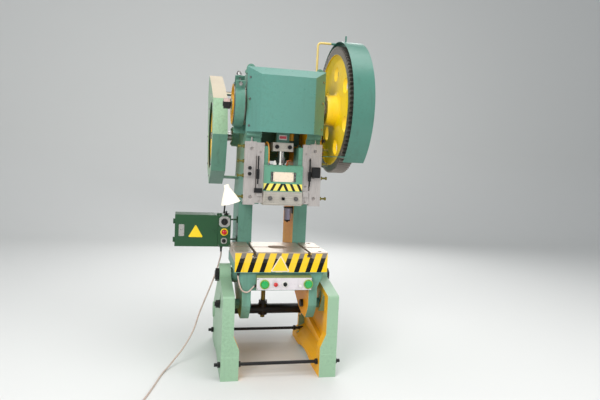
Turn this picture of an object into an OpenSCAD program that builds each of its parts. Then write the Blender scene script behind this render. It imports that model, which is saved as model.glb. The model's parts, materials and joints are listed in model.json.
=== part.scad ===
// Open-back inclinable power press, about 63 tonnes, standing upright on its two cast legs.
// X runs to the operator's right, Y away from the operator, Z up. The origin lies on the floor,
// at the centre of the four anchor holes in the feet. All sizes are in millimetres.

/* [Legs] */
// Length of a foot along the floor
foot_l = 1000; // [900:10:1200]
// Width of a foot
foot_w = 132; // [110:2:160]
// Height of the foot block
foot_h = 165; // [120:5:200]
// Distance from the centre plane to the inner face of a leg post
leg_in = 352; // [340:1:380]
// Width of a leg post
leg_w = 88; // [70:2:110]
// Height of the front post
post_h = 633; // [600:1:660]
// Thickness of the flanges round a leg
leg_flange = 42; // [30:2:60]
// Thickness of the web of a leg
leg_web = 34; // [24:2:50]
// Distance of the anchor holes from each end of a foot
anchor_in = 150; // [130:5:180]
// Diameter of the anchor holes
anchor_d = 28; // [20:1:32]
// Diameter of the tie rods
tie_d = 26; // [20:1:36]
// Height of the tie rods
tie_z = 105; // [90:1:130]

/* [Tilting] */
// Height of the tilting axis
trunnion_z = 700; // [680:1:720]
// Distance of the tilting axis behind the slide axis
trunnion_back = 140; // [120:1:160]
// Diameter of the trunnion pins
trunnion_d = 70; // [50:1:90]
// Radius of the ears on the legs
ear_r = 92; // [80:1:100]
// Radius of the slot that the clamp bolts run in
tilt_slot_r = 258; // [240:1:270]
// Diameter of the clamp bolts
clamp_d = 36; // [24:1:44]
// Largest backward tilt, in degrees
tilt_max = 25; // [15:1:26]
// Diameter of the cross tube
cross_d = 90; // [70:1:100]
// Diameter of the tilting screw
screw_d = 40; // [30:1:50]

/* [Frame] */
// Distance from the slide axis back to the throat
throat = 260; // [240:5:280]
// Distance between the uprights
upright_gap = 350; // [340:2:360]
// Thickness of an upright
upright_t = 115; // [100:1:120]
// Depth of the uprights from front to back
column_d = 430; // [380:5:460]
// Thickness of the side walls below the table
ear_t = 66; // [50:1:80]
// Height of the top of the table
table_z = 872; // [850:1:900]
// Width of the table
table_w = 710; // [680:2:740]
// Depth of the table in front of the slide axis
table_front = 236; // [220:2:250]
// Thickness of the table's edge
table_t = 76; // [60:1:90]
// Thickness of the bolster plate
bolster_t = 80; // [60:1:90]
// Diameter of the hole through the bolster
bolster_hole = 150; // [100:5:200]
// Height of the lower edge of the head
head_z = 1300; // [1280:5:1320]
// Height of the top of the head
head_top = 2300; // [2280:5:2330]

/* [Crank and slide] */
// Height of the crankshaft axis
crank_z = 2055; // [2040:1:2070]
// Stroke of the slide
stroke = 120; // [80:2:130]
// Diameter of the crankshaft's main journals
journal_d = 110; // [90:2:130]
// Diameter of the crank pin
crankpin_d = 124; // [110:2:140]
// Height of the ball centre with the slide at the top of its stroke
ball_z = 1545; // [1530:1:1560]
// Diameter of the ball
ball_d = 96; // [80:2:110]
// Diameter of the screw above the ball
ball_screw_d = 64; // [50:2:70]
// Width of the slide
slide_w = 300; // [280:2:310]
// Depth of the slide
slide_d = 280; // [260:2:290]
// Height of the slide's lower face at the top of its stroke
slide_z = 1298; // [1285:1:1310]
// Diameter of the punch shank hole
shank_d = 50; // [40:1:60]
// Depth of the punch shank hole
shank_l = 76; // [60:1:85]
// Height of the gib plates
gib_h = 480; // [440:5:490]
// Thickness of the gib plates
gib_t = 40; // [30:1:50]
// Running gap of the sliding faces
slide_gap = 0.3; // [0.1:0.1:0.5]
// Radial running clearance of shafts in their bores
run_gap = 0.05; // [0.02:0.01:0.1]

/* [Drive] */
// Module of the gear teeth
gear_module = 11; // [10:0.5:12]
// Number of teeth on the large gear
gear_teeth = 88; // [80:1:92]
// Number of teeth on the pinion
pinion_teeth = 14; // [12:1:16]
// Width of the gear teeth
gear_w = 104; // [80:2:110]
// Distance of the pinion axis behind the crankshaft axis
pinion_back = 512; // [490:1:530]
// Diameter of the pinion shaft
shaft_d = 62; // [50:1:70]
// Diameter of the flywheel
flywheel_d = 730; // [690:2:740]
// Diameter of the motor pulley
pulley_d = 170; // [150:2:200]
// Number of drive belts
belts = 4; // [3:1:4]
// Diameter of the motor's body
motor_d = 262; // [220:2:280]
// Length of the motor's body
motor_l = 330; // [280:5:380]
// Distance of the motor axis behind the crankshaft axis
motor_back = 940; // [920:5:960]
// Height of the motor axis
motor_z = 2235; // [2220:5:2250]

/* [Guards and brake] */
// Thickness of the sheet metal
sheet_t = 3; // [2:0.5:4]
// Radius of the hoop round the large gear
hoop_r = 530; // [526:2:550]
// Width of the hoop
hoop_w = 160; // [150:5:180]
// Radius of the flywheel guard, to its corners
fly_guard_r = 412; // [408:2:430]
// Width of the flywheel guard
fly_guard_w = 116; // [110:2:120]
// Radius of the opening in the flywheel guard
fly_open_r = 285; // [250:5:300]
// Diameter of the brake drum
drum_d = 310; // [300:5:360]
// Width of the crank cover
cover_w = 600; // [560:2:620]
// Height of the crank cover's lower edge
cover_z = 1847; // [1830:1:1860]
// Height of the crank cover
cover_h = 484; // [440:2:490]

/* [Controls] */
// Width of the two-hand panel
panel_w = 420; // [380:2:440]
// Height of the two-hand panel
panel_h = 92; // [80:1:110]
// Width of the cabinet
cabinet_w = 340; // [300:5:380]
// Height of the cabinet
cabinet_h = 256; // [220:2:300]
// Depth of the cabinet
cabinet_d = 190; // [150:5:220]
// Width of the switch box beside the cabinet
switch_box_w = 104; // [90:2:120]
// Diameter of the supply cable
cable_d = 12; // [10:1:14]

/* [Hidden] */
$fn = 64;
EPS = 0.01;

// Colours
GREEN = [0.37, 0.61, 0.54];
DARK_GREEN = [0.13, 0.32, 0.20];
YELLOW = [0.93, 0.72, 0.12];
STEEL = [0.68, 0.68, 0.67];
DARK_STEEL = [0.25, 0.25, 0.26];
BLACK = [0.06, 0.06, 0.07];
BRASS = [0.72, 0.55, 0.25];
BRONZE = [0.66, 0.46, 0.24];
RED = [0.80, 0.10, 0.08];
SIGNAL_GREEN = [0.15, 0.75, 0.35];
PALE_GREY = [0.80, 0.80, 0.80];
CREAM = [0.92, 0.85, 0.72];

// Main places, worked out from the driving dimensions
foot_front = -foot_l / 2;
slide_y = foot_front + 315;
leg_out = leg_in + leg_w;
trunnion_y = slide_y + trunnion_back;
anchor_x = leg_out - foot_w + 22;
anchor_y = foot_l / 2 - anchor_in;
upright_in = upright_gap / 2;
upright_out = upright_in + upright_t;
ear_in = upright_out - ear_t;
throat_y = slide_y + throat;
column_y = throat_y + column_d;
bolster_top = table_z + bolster_t;
crank_r = stroke / 2;
crankpin_z = crank_z + crank_r;
gib_y = slide_y - 80;
gib_in = slide_w / 2 + slide_gap;

// Rotates a shape drawn in (y, z) and extruded along x to its place from x0 to x1
module along_x(x0, x1) {
    translate([x0, 0, 0])
        rotate([90, 0, 90])
            linear_extrude(height = x1 - x0)
                children();
}

// Places a shape drawn in (x, z) and extruded from the plane y0 back to y1
module along_y(y0, y1) {
    translate([0, y1, 0])
        rotate([90, 0, 0])
            linear_extrude(height = y1 - y0)
                children();
}

// Cylinder along X between x0 and x1
module rod_x(x0, x1, d, y = 0, z = 0, sides = 64) {
    translate([x0, y, z])
        rotate([0, 90, 0])
            cylinder(h = x1 - x0, d = d, $fn = sides);
}

// Cylinder along Y between y0 and y1
module rod_y(y0, y1, d, x = 0, z = 0, sides = 48) {
    translate([x, y0, z])
        rotate([-90, 0, 0])
            cylinder(h = y1 - y0, d = d, $fn = sides);
}

// Box given by its lowest and highest corners
module block(a, b) {
    translate(a)
        cube(b - a);
}

// Children and their mirror image across the centre plane
module both_sides() {
    children();
    mirror([1, 0, 0])
        children();
}

// Hexagon nut along X from x0, with the flats given by size
module nut_x(x0, x1, size, y, z) {
    translate([x0, y, z])
        rotate([0, 90, 0])
            cylinder(h = x1 - x0, d = size * 2 / sqrt(3), $fn = 6);
}

// Hexagon nut along Y from y0
module nut_y(y0, y1, size, x, z) {
    translate([x, y0, z])
        rotate([-90, 0, 0])
            cylinder(h = y1 - y0, d = size * 2 / sqrt(3), $fn = 6);
}

// Points of an arc round a centre, from angle a0 to a1 in n steps
function arc(c, r, a0, a1, n) = [
    for (i = [0 : n]) let (a = a0 + (a1 - a0) * i / n) [c[0] + r * cos(a), c[1] + r * sin(a)]
];

// Corner filled by a concave fillet; sx and sz point from the corner into the open space
module fillet(corner_y, corner_z, r, sx, sz) {
    polygon(concat(
        [[corner_y - sx, corner_z - sz], [corner_y + sx * r, corner_z - sz]],
        [for (i = [0 : 10]) let (a = 9 * i)
            [corner_y + sx * r * (1 - sin(a)), corner_z + sz * r * (1 - cos(a))]],
        [[corner_y - sx, corner_z + sz * r]]
    ));
}

// Point at radius r and angle a about the tilting axis, in (y, z)
function tilt_point(r, a) = [trunnion_y + r * cos(a), trunnion_z + r * sin(a)];

// Tilting linkage: clamp bolt, cross tube and screw
clamp_a = 229;
clamp_at = tilt_point(tilt_slot_r, clamp_a);
leg_back = foot_front + foot_l;
cross_y = slide_y + 605;
cross_z = 282;
eye_at = [slide_y + 610, 700];
eye_pin_d = 26;
eye_slot = 21;
eye_d = 78;
screw_low = 205;
eye_t = 34;
fork_t = 16;

// Legs
flare_low = 232;
flare_high = 335;
front_step = 12;
trunnion_boss_d = 132;
rear_post_h = 345;
tie_front_y = foot_front + 60;
tie_rear_y = leg_back - 112;
gap_boss_d = 78;

module leg_outline() {
    difference() {
        union() {
            polygon([
                [foot_front, 0], [leg_back, 0], [leg_back, rear_post_h],
                [trunnion_y + ear_r * 0.96, trunnion_z - ear_r * 0.28],
                [trunnion_y - ear_r, trunnion_z],
                [foot_front + 12, post_h], [foot_front, post_h - 12]
            ]);
            translate([trunnion_y, trunnion_z])
                circle(r = ear_r);
        }
        // Arched cut under the leg, between the two foot pads
        translate([0, -760])
            circle(r = 800, $fn = 160);
    }
}

// Hollow on the inner side of a leg, inside its flanges
module leg_window() {
    f = leg_flange;
    polygon([
        [foot_front + f, 40 + f], [leg_back - f, 40 + f], [leg_back - f, rear_post_h - 0.8 * f],
        [trunnion_y + ear_r * 0.96 - 0.6 * f, trunnion_z - ear_r * 0.28 - f],
        [trunnion_y - ear_r + f, trunnion_z - 0.6 * f],
        [foot_front + f + 12, post_h - f], [foot_front + f, post_h - 12 - 0.6 * f]
    ]);
}

// Curved slot in a leg that a clamp bolt runs in
module clamp_slot_band() {
    r = clamp_d / 2 + 2;
    first = clamp_a - tilt_max - 1;
    last = clamp_a + 1;
    trunnion = [trunnion_y, trunnion_z];
    polygon(concat(
        arc(trunnion, tilt_slot_r + r, first, last, 12),
        arc(tilt_point(tilt_slot_r, last), r, last + 12, last + 168, 8),
        arc(trunnion, tilt_slot_r - r, last, first, 12),
        arc(tilt_point(tilt_slot_r, first), r, first + 192, first + 348, 8)
    ));
}

// Right leg; the left one is its mirror image
module leg() {
    wall_in = leg_out - leg_web;
    difference() {
        union() {
            // Outer web, with the flanges standing inwards round it
            along_x(wall_in, leg_out)
                leg_outline();
            along_x(leg_in, leg_out)
                difference() {
                    leg_outline();
                    leg_window();
                }
            // Front post and foot, full width, flaring to the inside
            intersection() {
                along_y(foot_front, foot_front + 96)
                    polygon([
                        [leg_out, 0], [leg_out, post_h], [leg_in, post_h],
                        [leg_in, flare_high], [leg_out - foot_w, flare_low],
                        [leg_out - foot_w, 0]
                    ]);
                along_x(leg_out - foot_w, leg_out)
                    leg_outline();
            }
            // Foot rail along the floor, with its sloping upper face
            intersection() {
                along_y(foot_front, leg_back)
                    polygon([
                        [leg_out, 0], [leg_out, 150], [leg_in, 100],
                        [leg_out - foot_w, 64], [leg_out - foot_w, 0]
                    ]);
                along_x(leg_out - foot_w, leg_out)
                    leg_outline();
            }
            // Bosses for the trunnion, the clamp bolt's slot and the cross tube
            rod_x(leg_in, leg_out, trunnion_boss_d, trunnion_y, trunnion_z);
            rod_x(leg_in, leg_out + 10, cross_d + 46, cross_y, cross_z);
            along_x(leg_in, leg_out)
                intersection() {
                    leg_outline();
                    translate(tilt_point(tilt_slot_r, clamp_a - tilt_max / 2))
                        rotate(clamp_a - tilt_max / 2 + 90)
                            square([190, 96], center = true);
                }
            // Sloping rib across the web
            along_x(leg_in + 18, leg_out)
                polygon([
                    [foot_front + 80, 190], [foot_front + 118, 160],
                    [cross_y - 40, cross_z - 18], [cross_y - 40, cross_z + 18]
                ]);
        }
        // Front of the post stands back from the foot block, which is stepped forward
        along_x(leg_in - 80, leg_out + EPS)
            polygon([
                [foot_front - EPS, foot_h + front_step], [foot_front + 2, foot_h + front_step + 4],
                [foot_front + 2, post_h + EPS], [foot_front - EPS, post_h + EPS]
            ]);
        rod_x(leg_in - EPS, leg_out + EPS, trunnion_d, trunnion_y, trunnion_z);
        rod_x(leg_in - EPS, leg_out - 24, cross_d - 20 + 2 * run_gap, cross_y, cross_z);
        along_x(leg_in - EPS, leg_out + EPS)
            clamp_slot_band();
        for (y = [tie_front_y, tie_rear_y])
            rod_x(leg_out - foot_w - EPS, leg_out + EPS, tie_d + 1, y, tie_z);
        for (y = [-anchor_y, anchor_y])
            translate([anchor_x, y, -EPS])
                cylinder(h = 130, d = anchor_d);
    }
}

module left_leg() {
    color(GREEN)
        mirror([1, 0, 0])
            leg();
}

module right_leg() {
    color(GREEN)
        leg();
}

// Two tie rods between the legs, threaded at both ends, with a nut on each side of each leg
module tie_rods() {
    end = leg_out + 45;
    color(DARK_STEEL)
        for (y = [tie_front_y, tie_rear_y]) {
            rod_x(-end, end, tie_d, y, tie_z, 32);
            both_sides() {
                nut_x(leg_out + 0.3, leg_out + 20, tie_d * 1.55, y, tie_z);
                nut_x(leg_out - foot_w - 20, leg_out - foot_w - 0.3, tie_d * 1.55, y, tie_z);
            }
        }
}

// Pins that the frame tilts on, headed inside the frame and nutted outside the legs
module trunnion_pins() {
    color(DARK_STEEL)
        both_sides() {
            rod_x(ear_in - 26, leg_out + 34, trunnion_d - 2 * run_gap, trunnion_y, trunnion_z);
            rod_x(ear_in - 26, ear_in - 0.3, trunnion_d + 22, trunnion_y, trunnion_z);
            nut_x(leg_out + 0.3, leg_out + 30, trunnion_d * 1.3, trunnion_y, trunnion_z);
        }
}

// Cross tube, turning in the legs, with a block and a nut in its middle that the screw passes
module tilt_cross_tube() {
    tube_end = leg_in - 0.3;
    angle = screw_angle;
    color(BLACK)
        difference() {
            union() {
                rod_x(-tube_end, tube_end, cross_d, cross_y, cross_z);
                rod_x(-leg_out + 25, leg_out - 25, cross_d - 20, cross_y, cross_z);
                translate([0, cross_y, cross_z])
                    rotate([angle, 0, 0]) {
                        cylinder(h = cross_d + 12, d = screw_d + 44, center = true);
                        translate([0, 0, cross_d / 2 + 6])
                            cylinder(h = 30, d = (screw_d + 26) * 2 / sqrt(3), $fn = 6);
                    }
            }
            translate([0, cross_y, cross_z])
                rotate([angle, 0, 0])
                    cylinder(h = 3 * cross_d, d = screw_d + 2 * run_gap, center = true);
        }
}

// Angle of the screw from the vertical, leaning from the cross tube to its eye
screw_angle = -atan2(eye_at[0] - cross_y, eye_at[1] - cross_z);
eye_reach = norm([eye_at[0] - cross_y, eye_at[1] - cross_z]);

// Screw that sets the tilt: threaded rod with a forked head and its pin
module tilt_screw() {
    fork_w = 62;
    root_top = eye_reach - eye_d / 2 - 14;
    color(BRASS)
        translate([0, cross_y, cross_z])
            rotate([screw_angle, 0, 0]) {
                translate([0, 0, screw_low - cross_z])
                    cylinder(h = root_top - 20 + cross_z - screw_low, d = screw_d);
                translate([0, 0, root_top - 34])
                    cylinder(h = 34, d = fork_w + 12);
                both_sides()
                    along_x(eye_t / 2 + 0.5, eye_t / 2 + fork_t) {
                        translate([0, eye_reach])
                            circle(d = fork_w);
                        translate([-fork_w / 2, root_top - 20])
                            square([fork_w, eye_reach - root_top + 20]);
                    }
                rod_x(-eye_t / 2 - fork_t - 8, eye_t / 2 + fork_t + 8, eye_pin_d,
                    0, eye_reach, 48);
            }
}

// Frame
apron_front = table_front - 26;
head_rear = slide_y + 606;
bearing_boss_r = 112;
front_cheek_y = slide_y - 118;
ear_arc_r = 388;
ear_low = 414;
motor_pad_z = 1990;
crank_bush_t = 12;
pinion_y = slide_y + pinion_back;
centre_distance = gear_module * (gear_teeth + pinion_teeth) / 2;
pinion_z = crank_z - sqrt(pow(centre_distance, 2) - pow(pinion_back, 2));
gear_tip_r = gear_module * (gear_teeth / 2 + 0.9);

// Side view of a side wall above the table: the C with its throat
module cheek_outline() {
    union() {
            polygon([
                [throat_y, table_z - 200], [column_y, table_z - 200],
                [column_y + 8, head_z + 60], [head_rear, head_z + 320],
                [head_rear, head_top - 60], [head_rear - 60, head_top],
                [slide_y - 40, head_top], [front_cheek_y, head_top - 70],
                [front_cheek_y, cover_z - 24], [gib_y, cover_z - 44],
                [gib_y, head_z], [throat_y, head_z]
            ]);
            translate([slide_y, crank_z])
                circle(r = bearing_boss_r + 4);
    }
    // Fillets at the top and bottom of the throat
    fillet(throat_y, head_z, 46, -1, -1);
    fillet(throat_y, table_z, 12, -1, 1);
}

// Side view of the part of a side wall below the table, rounded about the tilting axis
module ear_outline() {
    intersection() {
        union() {
            intersection() {
                translate([trunnion_y, trunnion_z])
                    circle(r = ear_arc_r, $fn = 160);
                polygon([
                    [slide_y - 400, table_z - 60], [slide_y - 400, ear_low],
                    [slide_y + 10, ear_low], [slide_y + 120, ear_low + 26],
                    [column_y - 60, table_z - 200], [column_y - 60, table_z - 60]
                ]);
            }
            polygon([
                [slide_y - apron_front + 8, table_z - 60],
                [slide_y - apron_front + 8, table_z - 190],
                [slide_y + 40, table_z - 260], [column_y - 40, table_z - 280],
                [column_y, table_z - 180], [column_y, table_z - 60]
            ]);
        }
        translate([slide_y - apron_front, 0])
            square([2000, 2000]);
    }
}

module frame_casting() {
    color(GREEN)
        difference() {
            union() {
                // Side walls
                both_sides() {
                    along_x(upright_in, upright_out)
                        cheek_outline();
                    along_x(ear_in, upright_out)
                        ear_outline();
                    // Bearing bosses of the crankshaft
                    rod_x(upright_in - 14, upright_out + 8, 2 * bearing_boss_r,
                        slide_y, crank_z);
                    // Bosses round the trunnion and the clamp bolt
                    rod_x(ear_in, leg_in - 0.3, trunnion_d + 50, trunnion_y, trunnion_z);
                    rod_x(ear_in, leg_in - 0.3, gap_boss_d, clamp_at[0], clamp_at[1]);
                    // Pads for the pinion bearings
                    rod_x(upright_out - 20, upright_out + 10, 176, pinion_y, pinion_z);
                }
                // Table, with the deep apron under its front edge
                block([-table_w / 2, slide_y - table_front, table_z - table_t],
                    [table_w / 2, throat_y + 40, table_z]);
                block([-upright_out, throat_y - 20, table_z - table_t],
                    [upright_out, column_y, table_z]);
                along_y(slide_y - apron_front, slide_y - apron_front + 44)
                    polygon([
                        [-table_w / 2 + 16, table_z - table_t + EPS],
                        [table_w / 2 - 16, table_z - table_t + EPS],
                        [upright_out, table_z - table_t - 118],
                        [upright_out - 26, table_z - table_t - 142],
                        [-upright_out + 26, table_z - table_t - 142],
                        [-upright_out, table_z - table_t - 118]
                    ]);
                // Brackets under the overhanging sides of the table
                both_sides()
                    for (y = [slide_y - 120, slide_y + 60, throat_y - 60])
                        along_y(y, y + 30)
                            polygon([
                                [upright_out - 4, table_z - table_t + EPS],
                                [table_w / 2 - 6, table_z - table_t + EPS],
                                [upright_out - 4, table_z - table_t - 96]
                            ]);
                // Cross wall at the back of the table, and the slotted eye for the screw
                block([-upright_in - 20, column_y - 34, table_z - 176],
                    [upright_in + 20, column_y, table_z - table_t + EPS]);
                along_x(-eye_t / 2, eye_t / 2)
                    difference() {
                        polygon(concat(
                            [[eye_at[0] + eye_d / 2, table_z - table_t + 4],
                                [eye_at[0] - eye_slot - eye_d / 2, table_z - table_t + 4]],
                            arc(eye_at - [eye_slot, 0], eye_d / 2, 180, 270, 10),
                            arc(eye_at, eye_d / 2, 270, 360, 10)
                        ));
                        eye_slot_outline();
                    }
                // Head: rear wall, top, and the cross wall over the throat
                block([-upright_in - 10, head_rear - 46, head_z + 330],
                    [upright_in + 10, head_rear, head_top - 60]);
                block([-upright_in - 10, slide_y + 60, head_top - 40],
                    [upright_in + 10, head_rear - 30, head_top]);
                along_x(-upright_in - 10, upright_in + 10)
                    polygon([
                        [throat_y - 80, head_z + 130], [throat_y - 40, head_z + 94],
                        [column_y - 60, head_z + 94], [column_y - 20, head_z + 130],
                        [column_y - 20, head_z + 150], [throat_y - 80, head_z + 150]
                    ]);
                // Lower front beam under the cover
                block([-upright_in - 10, slide_y + 168, cover_z - 90],
                    [upright_in + 10, slide_y + 208, cover_z + 40]);
                // Rails behind the slide's tongues
                both_sides()
                    block([gib_in, slide_y + 80 + slide_gap, head_z + 6],
                        [upright_in + 10, slide_y + 112, head_z + gib_h - 12]);
                // Lifting lugs on the top
                both_sides()
                    lifting_lug();
                // Pads that carry the motor plate
                both_sides()
                    block([upright_in + 20, head_rear - 20, motor_pad_z],
                        [upright_out - 10, head_rear + 26, motor_foot_z - 0.3]);
            }
            // Bearing bores of the crankshaft
            both_sides()
                rod_x(upright_in - 30, upright_out + 30, journal_d + 2 * crank_bush_t + 2 * run_gap,
                    slide_y, crank_z);
            // Bores of the pinion shaft's bearings
            both_sides()
                rod_x(upright_in - 30, upright_out + 30, 130, pinion_y, pinion_z);
            // Trunnion bores and clamp bolt holes
            both_sides() {
                rod_x(ear_in - EPS, leg_in, trunnion_d, trunnion_y, trunnion_z);
                rod_x(ear_in - EPS, leg_in, clamp_d + 1, clamp_at[0], clamp_at[1]);
            }
            // Hole through the table under the bolster
            translate([0, slide_y, table_z - table_t - 1])
                cylinder(h = table_t + 2, d = bolster_hole + 60);
            // Threaded holes for the bolster's screws
            bolster_screw_places()
                translate([0, 0, table_z - 50])
                    cylinder(h = 60, d = 20);
        }
}

module eye_slot_outline() {
    polygon(concat(
        arc(eye_at, eye_pin_d / 2 + 4, -90, 90, 16),
        arc(eye_at - [eye_slot, 0], eye_pin_d / 2 + 4, 90, 270, 16)
    ));
}

// Lobed lug with a round hole, standing on the head's side wall
module lifting_lug() {
    lug_x = upright_out - 30;
    along_y(slide_y - 60, slide_y - 26)
        difference() {
            union() {
                translate([lug_x + 8, head_top + 28])
                    circle(r = 32);
                translate([lug_x + 34, head_top + 2])
                    circle(r = 17);
                translate([lug_x - 26, head_top + 2])
                    circle(r = 17);
                translate([lug_x - 40, head_top - 90])
                    square([70, 108]);
            }
            translate([lug_x + 8, head_top + 30])
                circle(r = 15);
        }
}

module bolster_screw_places() {
    for (x = [-table_w / 2 + 52, table_w / 2 - 52])
        for (y = [slide_y - table_front + 52, throat_y - 64])
            translate([x, y, 0])
                children();
}

// Bolts that clamp the tilting frame to the legs
module tilt_clamp_bolts() {
    color(BLACK)
        both_sides() {
            rod_x(ear_in - 20, leg_out + 40, clamp_d, clamp_at[0], clamp_at[1], 32);
            nut_x(ear_in - 24, ear_in - 0.3, clamp_d * 1.5, clamp_at[0], clamp_at[1]);
            rod_x(leg_out + 0.3, leg_out + 6, clamp_d * 1.8, clamp_at[0], clamp_at[1], 32);
            nut_x(leg_out + 6, leg_out + 32, clamp_d * 1.5, clamp_at[0], clamp_at[1]);
        }
}

// Bolster plate with T-slots, a centre hole and recessed screw holes
slot_w = 22;
slot_foot_w = 38;
slot_neck = 20;
slot_deep = 38;

module t_slot() {
    translate([-slot_w / 2, -slot_deep])
        square([slot_w, slot_deep + 1]);
    translate([-slot_foot_w / 2, -slot_deep])
        square([slot_foot_w, slot_deep - slot_neck]);
}

module bolster_plate() {
    front = slide_y - table_front;
    back = throat_y - 14;
    color(STEEL)
        difference() {
            block([-table_w / 2, front, table_z], [table_w / 2, back, bolster_top]);
            translate([0, slide_y, table_z - 1])
                cylinder(h = bolster_t + 2, d = bolster_hole);
            // Cross-wise slots
            for (x = [-210, 210])
                along_y(front - 1, back + 1)
                    translate([x, bolster_top])
                        t_slot();
            along_x(-table_w / 2 - 1, table_w / 2 + 1)
                translate([slide_y, bolster_top])
                    t_slot();
            bolster_screw_places() {
                translate([0, 0, table_z - 1])
                    cylinder(h = bolster_t + 2, d = 22);
                translate([0, 0, bolster_top - 26])
                    cylinder(h = 30, d = 34);
            }
        }
}

// Socket-head screws that hold the bolster plate
module bolster_bolts() {
    color(DARK_STEEL)
        bolster_screw_places()
            difference() {
                union() {
                    translate([0, 0, table_z - 44])
                        cylinder(h = bolster_t + 18, d = 19.8);
                    translate([0, 0, bolster_top - 26])
                        cylinder(h = 20, d = 31);
                }
                translate([0, 0, bolster_top - 16])
                    cylinder(h = 20, d = 16, $fn = 6);
            }
}

// Gibs: plates in front of the slide's tongues, each with an adjusting strip behind a dark slot
gib_z = head_z - 4;
gib_out = upright_out + 10;
gib_slot_x = gib_in + 62;

module gib() {
    top = gib_z + gib_h;
    difference() {
        union() {
            // Fixed plate
            block([gib_slot_x, gib_y - gib_t, gib_z], [gib_out, gib_y - 0.3, top]);
            // Adjusting strip, a little lower than the plate
            block([gib_in, gib_y - gib_t + 4, gib_z + 14],
                [gib_slot_x + EPS, gib_y - 0.3, top - 6]);
            // Stop bracket half way up, with its two bolts
            block([gib_slot_x + 26, gib_y - gib_t - 20, gib_z + 214],
                [gib_slot_x + 74, gib_y - gib_t + EPS, gib_z + 300]);
            for (z = [gib_z + 236, gib_z + 280])
                nut_y(gib_y - gib_t - 34, gib_y - gib_t - 20 + EPS, 22, gib_slot_x + 50, z);
            // Oil nipple on the top edge
            translate([gib_slot_x + 36, gib_y - gib_t / 2, top - EPS]) {
                cylinder(h = 12, d = 16, $fn = 6);
                cylinder(h = 32, d = 9, $fn = 24);
            }
            // Small block at the foot of the strip
            block([gib_in + 8, gib_y - gib_t - 14, gib_z + 70],
                [gib_in + 52, gib_y - gib_t + 4 + EPS, gib_z + 112]);
        }
        // Dark slot between the plate and the strip, and the bolt recesses
        block([gib_slot_x - 9, gib_y - gib_t - 1, gib_z + 120],
            [gib_slot_x + 2, gib_y - gib_t + 26, gib_z + 372]);
        for (p = [[34, gib_h - 54], [34, 60]])
            rod_y(gib_y - gib_t - 1, gib_y - gib_t + 18, 27, gib_slot_x + p[0], gib_z + p[1], 32);
        for (z = [gib_z + 28, gib_z + 150, gib_z + 400])
            rod_y(gib_y - gib_t - 1, gib_y - gib_t + 14, 19, gib_in + 28, z, 32);
    }
}

module right_gib() {
    color(STEEL)
        gib();
}

module left_gib() {
    color(STEEL)
        mirror([1, 0, 0])
            gib();
}

// Adjusting screws that reach in from the sides, with lock nuts, and the upright rods
module gib_screws() {
    screw_y = gib_y - gib_t / 2;
    color(BRASS)
        both_sides()
            for (z = [gib_z + 60, gib_z + 220, gib_z + 330, gib_z + 442]) {
                rod_x(gib_out + 0.2, gib_out + 52, 15, screw_y, z, 24);
                nut_x(gib_out + 0.2, gib_out + 13, 25, screw_y, z);
                nut_x(gib_out + 40, gib_out + 52, 22, screw_y, z);
            }
}

// Bronze bushes of the crankshaft
module crank_bushes() {
    color(BRONZE)
        both_sides()
            difference() {
                union() {
                    rod_x(upright_in - 14, upright_out + 9, journal_d + 2 * crank_bush_t,
                        slide_y, crank_z);
                    rod_x(upright_out + 8.3, upright_out + 14, journal_d + 2 * crank_bush_t + 26,
                        slide_y, crank_z);
                }
                rod_x(upright_in - 20, upright_out + 30, journal_d + 2 * run_gap,
                    slide_y, crank_z);
            }
}

// Crankshaft: journals, webs, pin, and the two long ends for the brake and the gear
web_t = 58;
rod_w = 104;
web_in = rod_w / 2 + 4;
web_out = web_in + web_t;
drum_in = upright_out + 18;
drum_out = upright_out + 106;
gear_x0 = upright_out + 102;
hub_x0 = upright_out + 42;
gear_x1 = gear_x0 + gear_w;
hub_d = 226;
crank_end = gear_x1 + 42;

module web_outline() {
    union() {
        circle(r = journal_d / 2 + 14);
        translate([0, crank_r])
            circle(r = crankpin_d / 2 + 10);
        translate([-journal_d / 2 - 8, -10])
            square([journal_d + 16, crank_r + 20]);
    }
}

module crankshaft() {
    color(STEEL)
        union() {
            both_sides() {
                along_x(web_in, web_out)
                    translate([slide_y, crank_z])
                        web_outline();
                rod_x(web_out - EPS, upright_out + 14.3, journal_d, slide_y, crank_z);
                // Collar that runs against the bush
                rod_x(web_out - EPS, upright_in - 14.3, journal_d + 26, slide_y, crank_z);
            }
            rod_x(-web_in - EPS, web_in + EPS, crankpin_d, slide_y, crankpin_z);
            // Left end with the brake drum, right end with the large gear
            rod_x(-drum_out - 7, -upright_out, journal_d - 20, slide_y, crank_z);
            rod_x(upright_out, crank_end, journal_d - 10, slide_y, crank_z);
            rod_x(upright_out + 14.3, hub_x0 - 0.3, journal_d + 30, slide_y, crank_z);
            // Keeper plate and nut outside the gear
            rod_x(gear_x1 + 14.3, gear_x1 + 30, journal_d + 44, slide_y, crank_z);
            nut_x(gear_x1 + 30, crank_end + 4, journal_d - 26, slide_y, crank_z);
        }
}

// Brake drum with a dished outer face and a hub, keyed to the crankshaft
module brake_drum() {
    color(YELLOW)
        difference() {
            translate([-drum_in, slide_y, crank_z])
                rotate([0, -90, 0])
                    rotate_extrude($fn = 96)
                        polygon([
                            [(journal_d - 20) / 2 + 0.02, 0], [drum_d / 2, 0],
                            [drum_d / 2, drum_out - drum_in],
                            [drum_d / 2 - 16, drum_out - drum_in],
                            [drum_d / 2 - 22, drum_out - drum_in - 46],
                            [journal_d / 2 + 20, drum_out - drum_in - 46],
                            [journal_d / 2 + 18, drum_out - drum_in + 4],
                            [(journal_d - 20) / 2 + 0.02, drum_out - drum_in + 4]
                        ]);
            for (a = [45 : 90 : 315])
                rod_x(-drum_out - 1, -drum_in + 1, 34,
                    slide_y + 110 * cos(a), crank_z + 110 * sin(a));
        }
}

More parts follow.
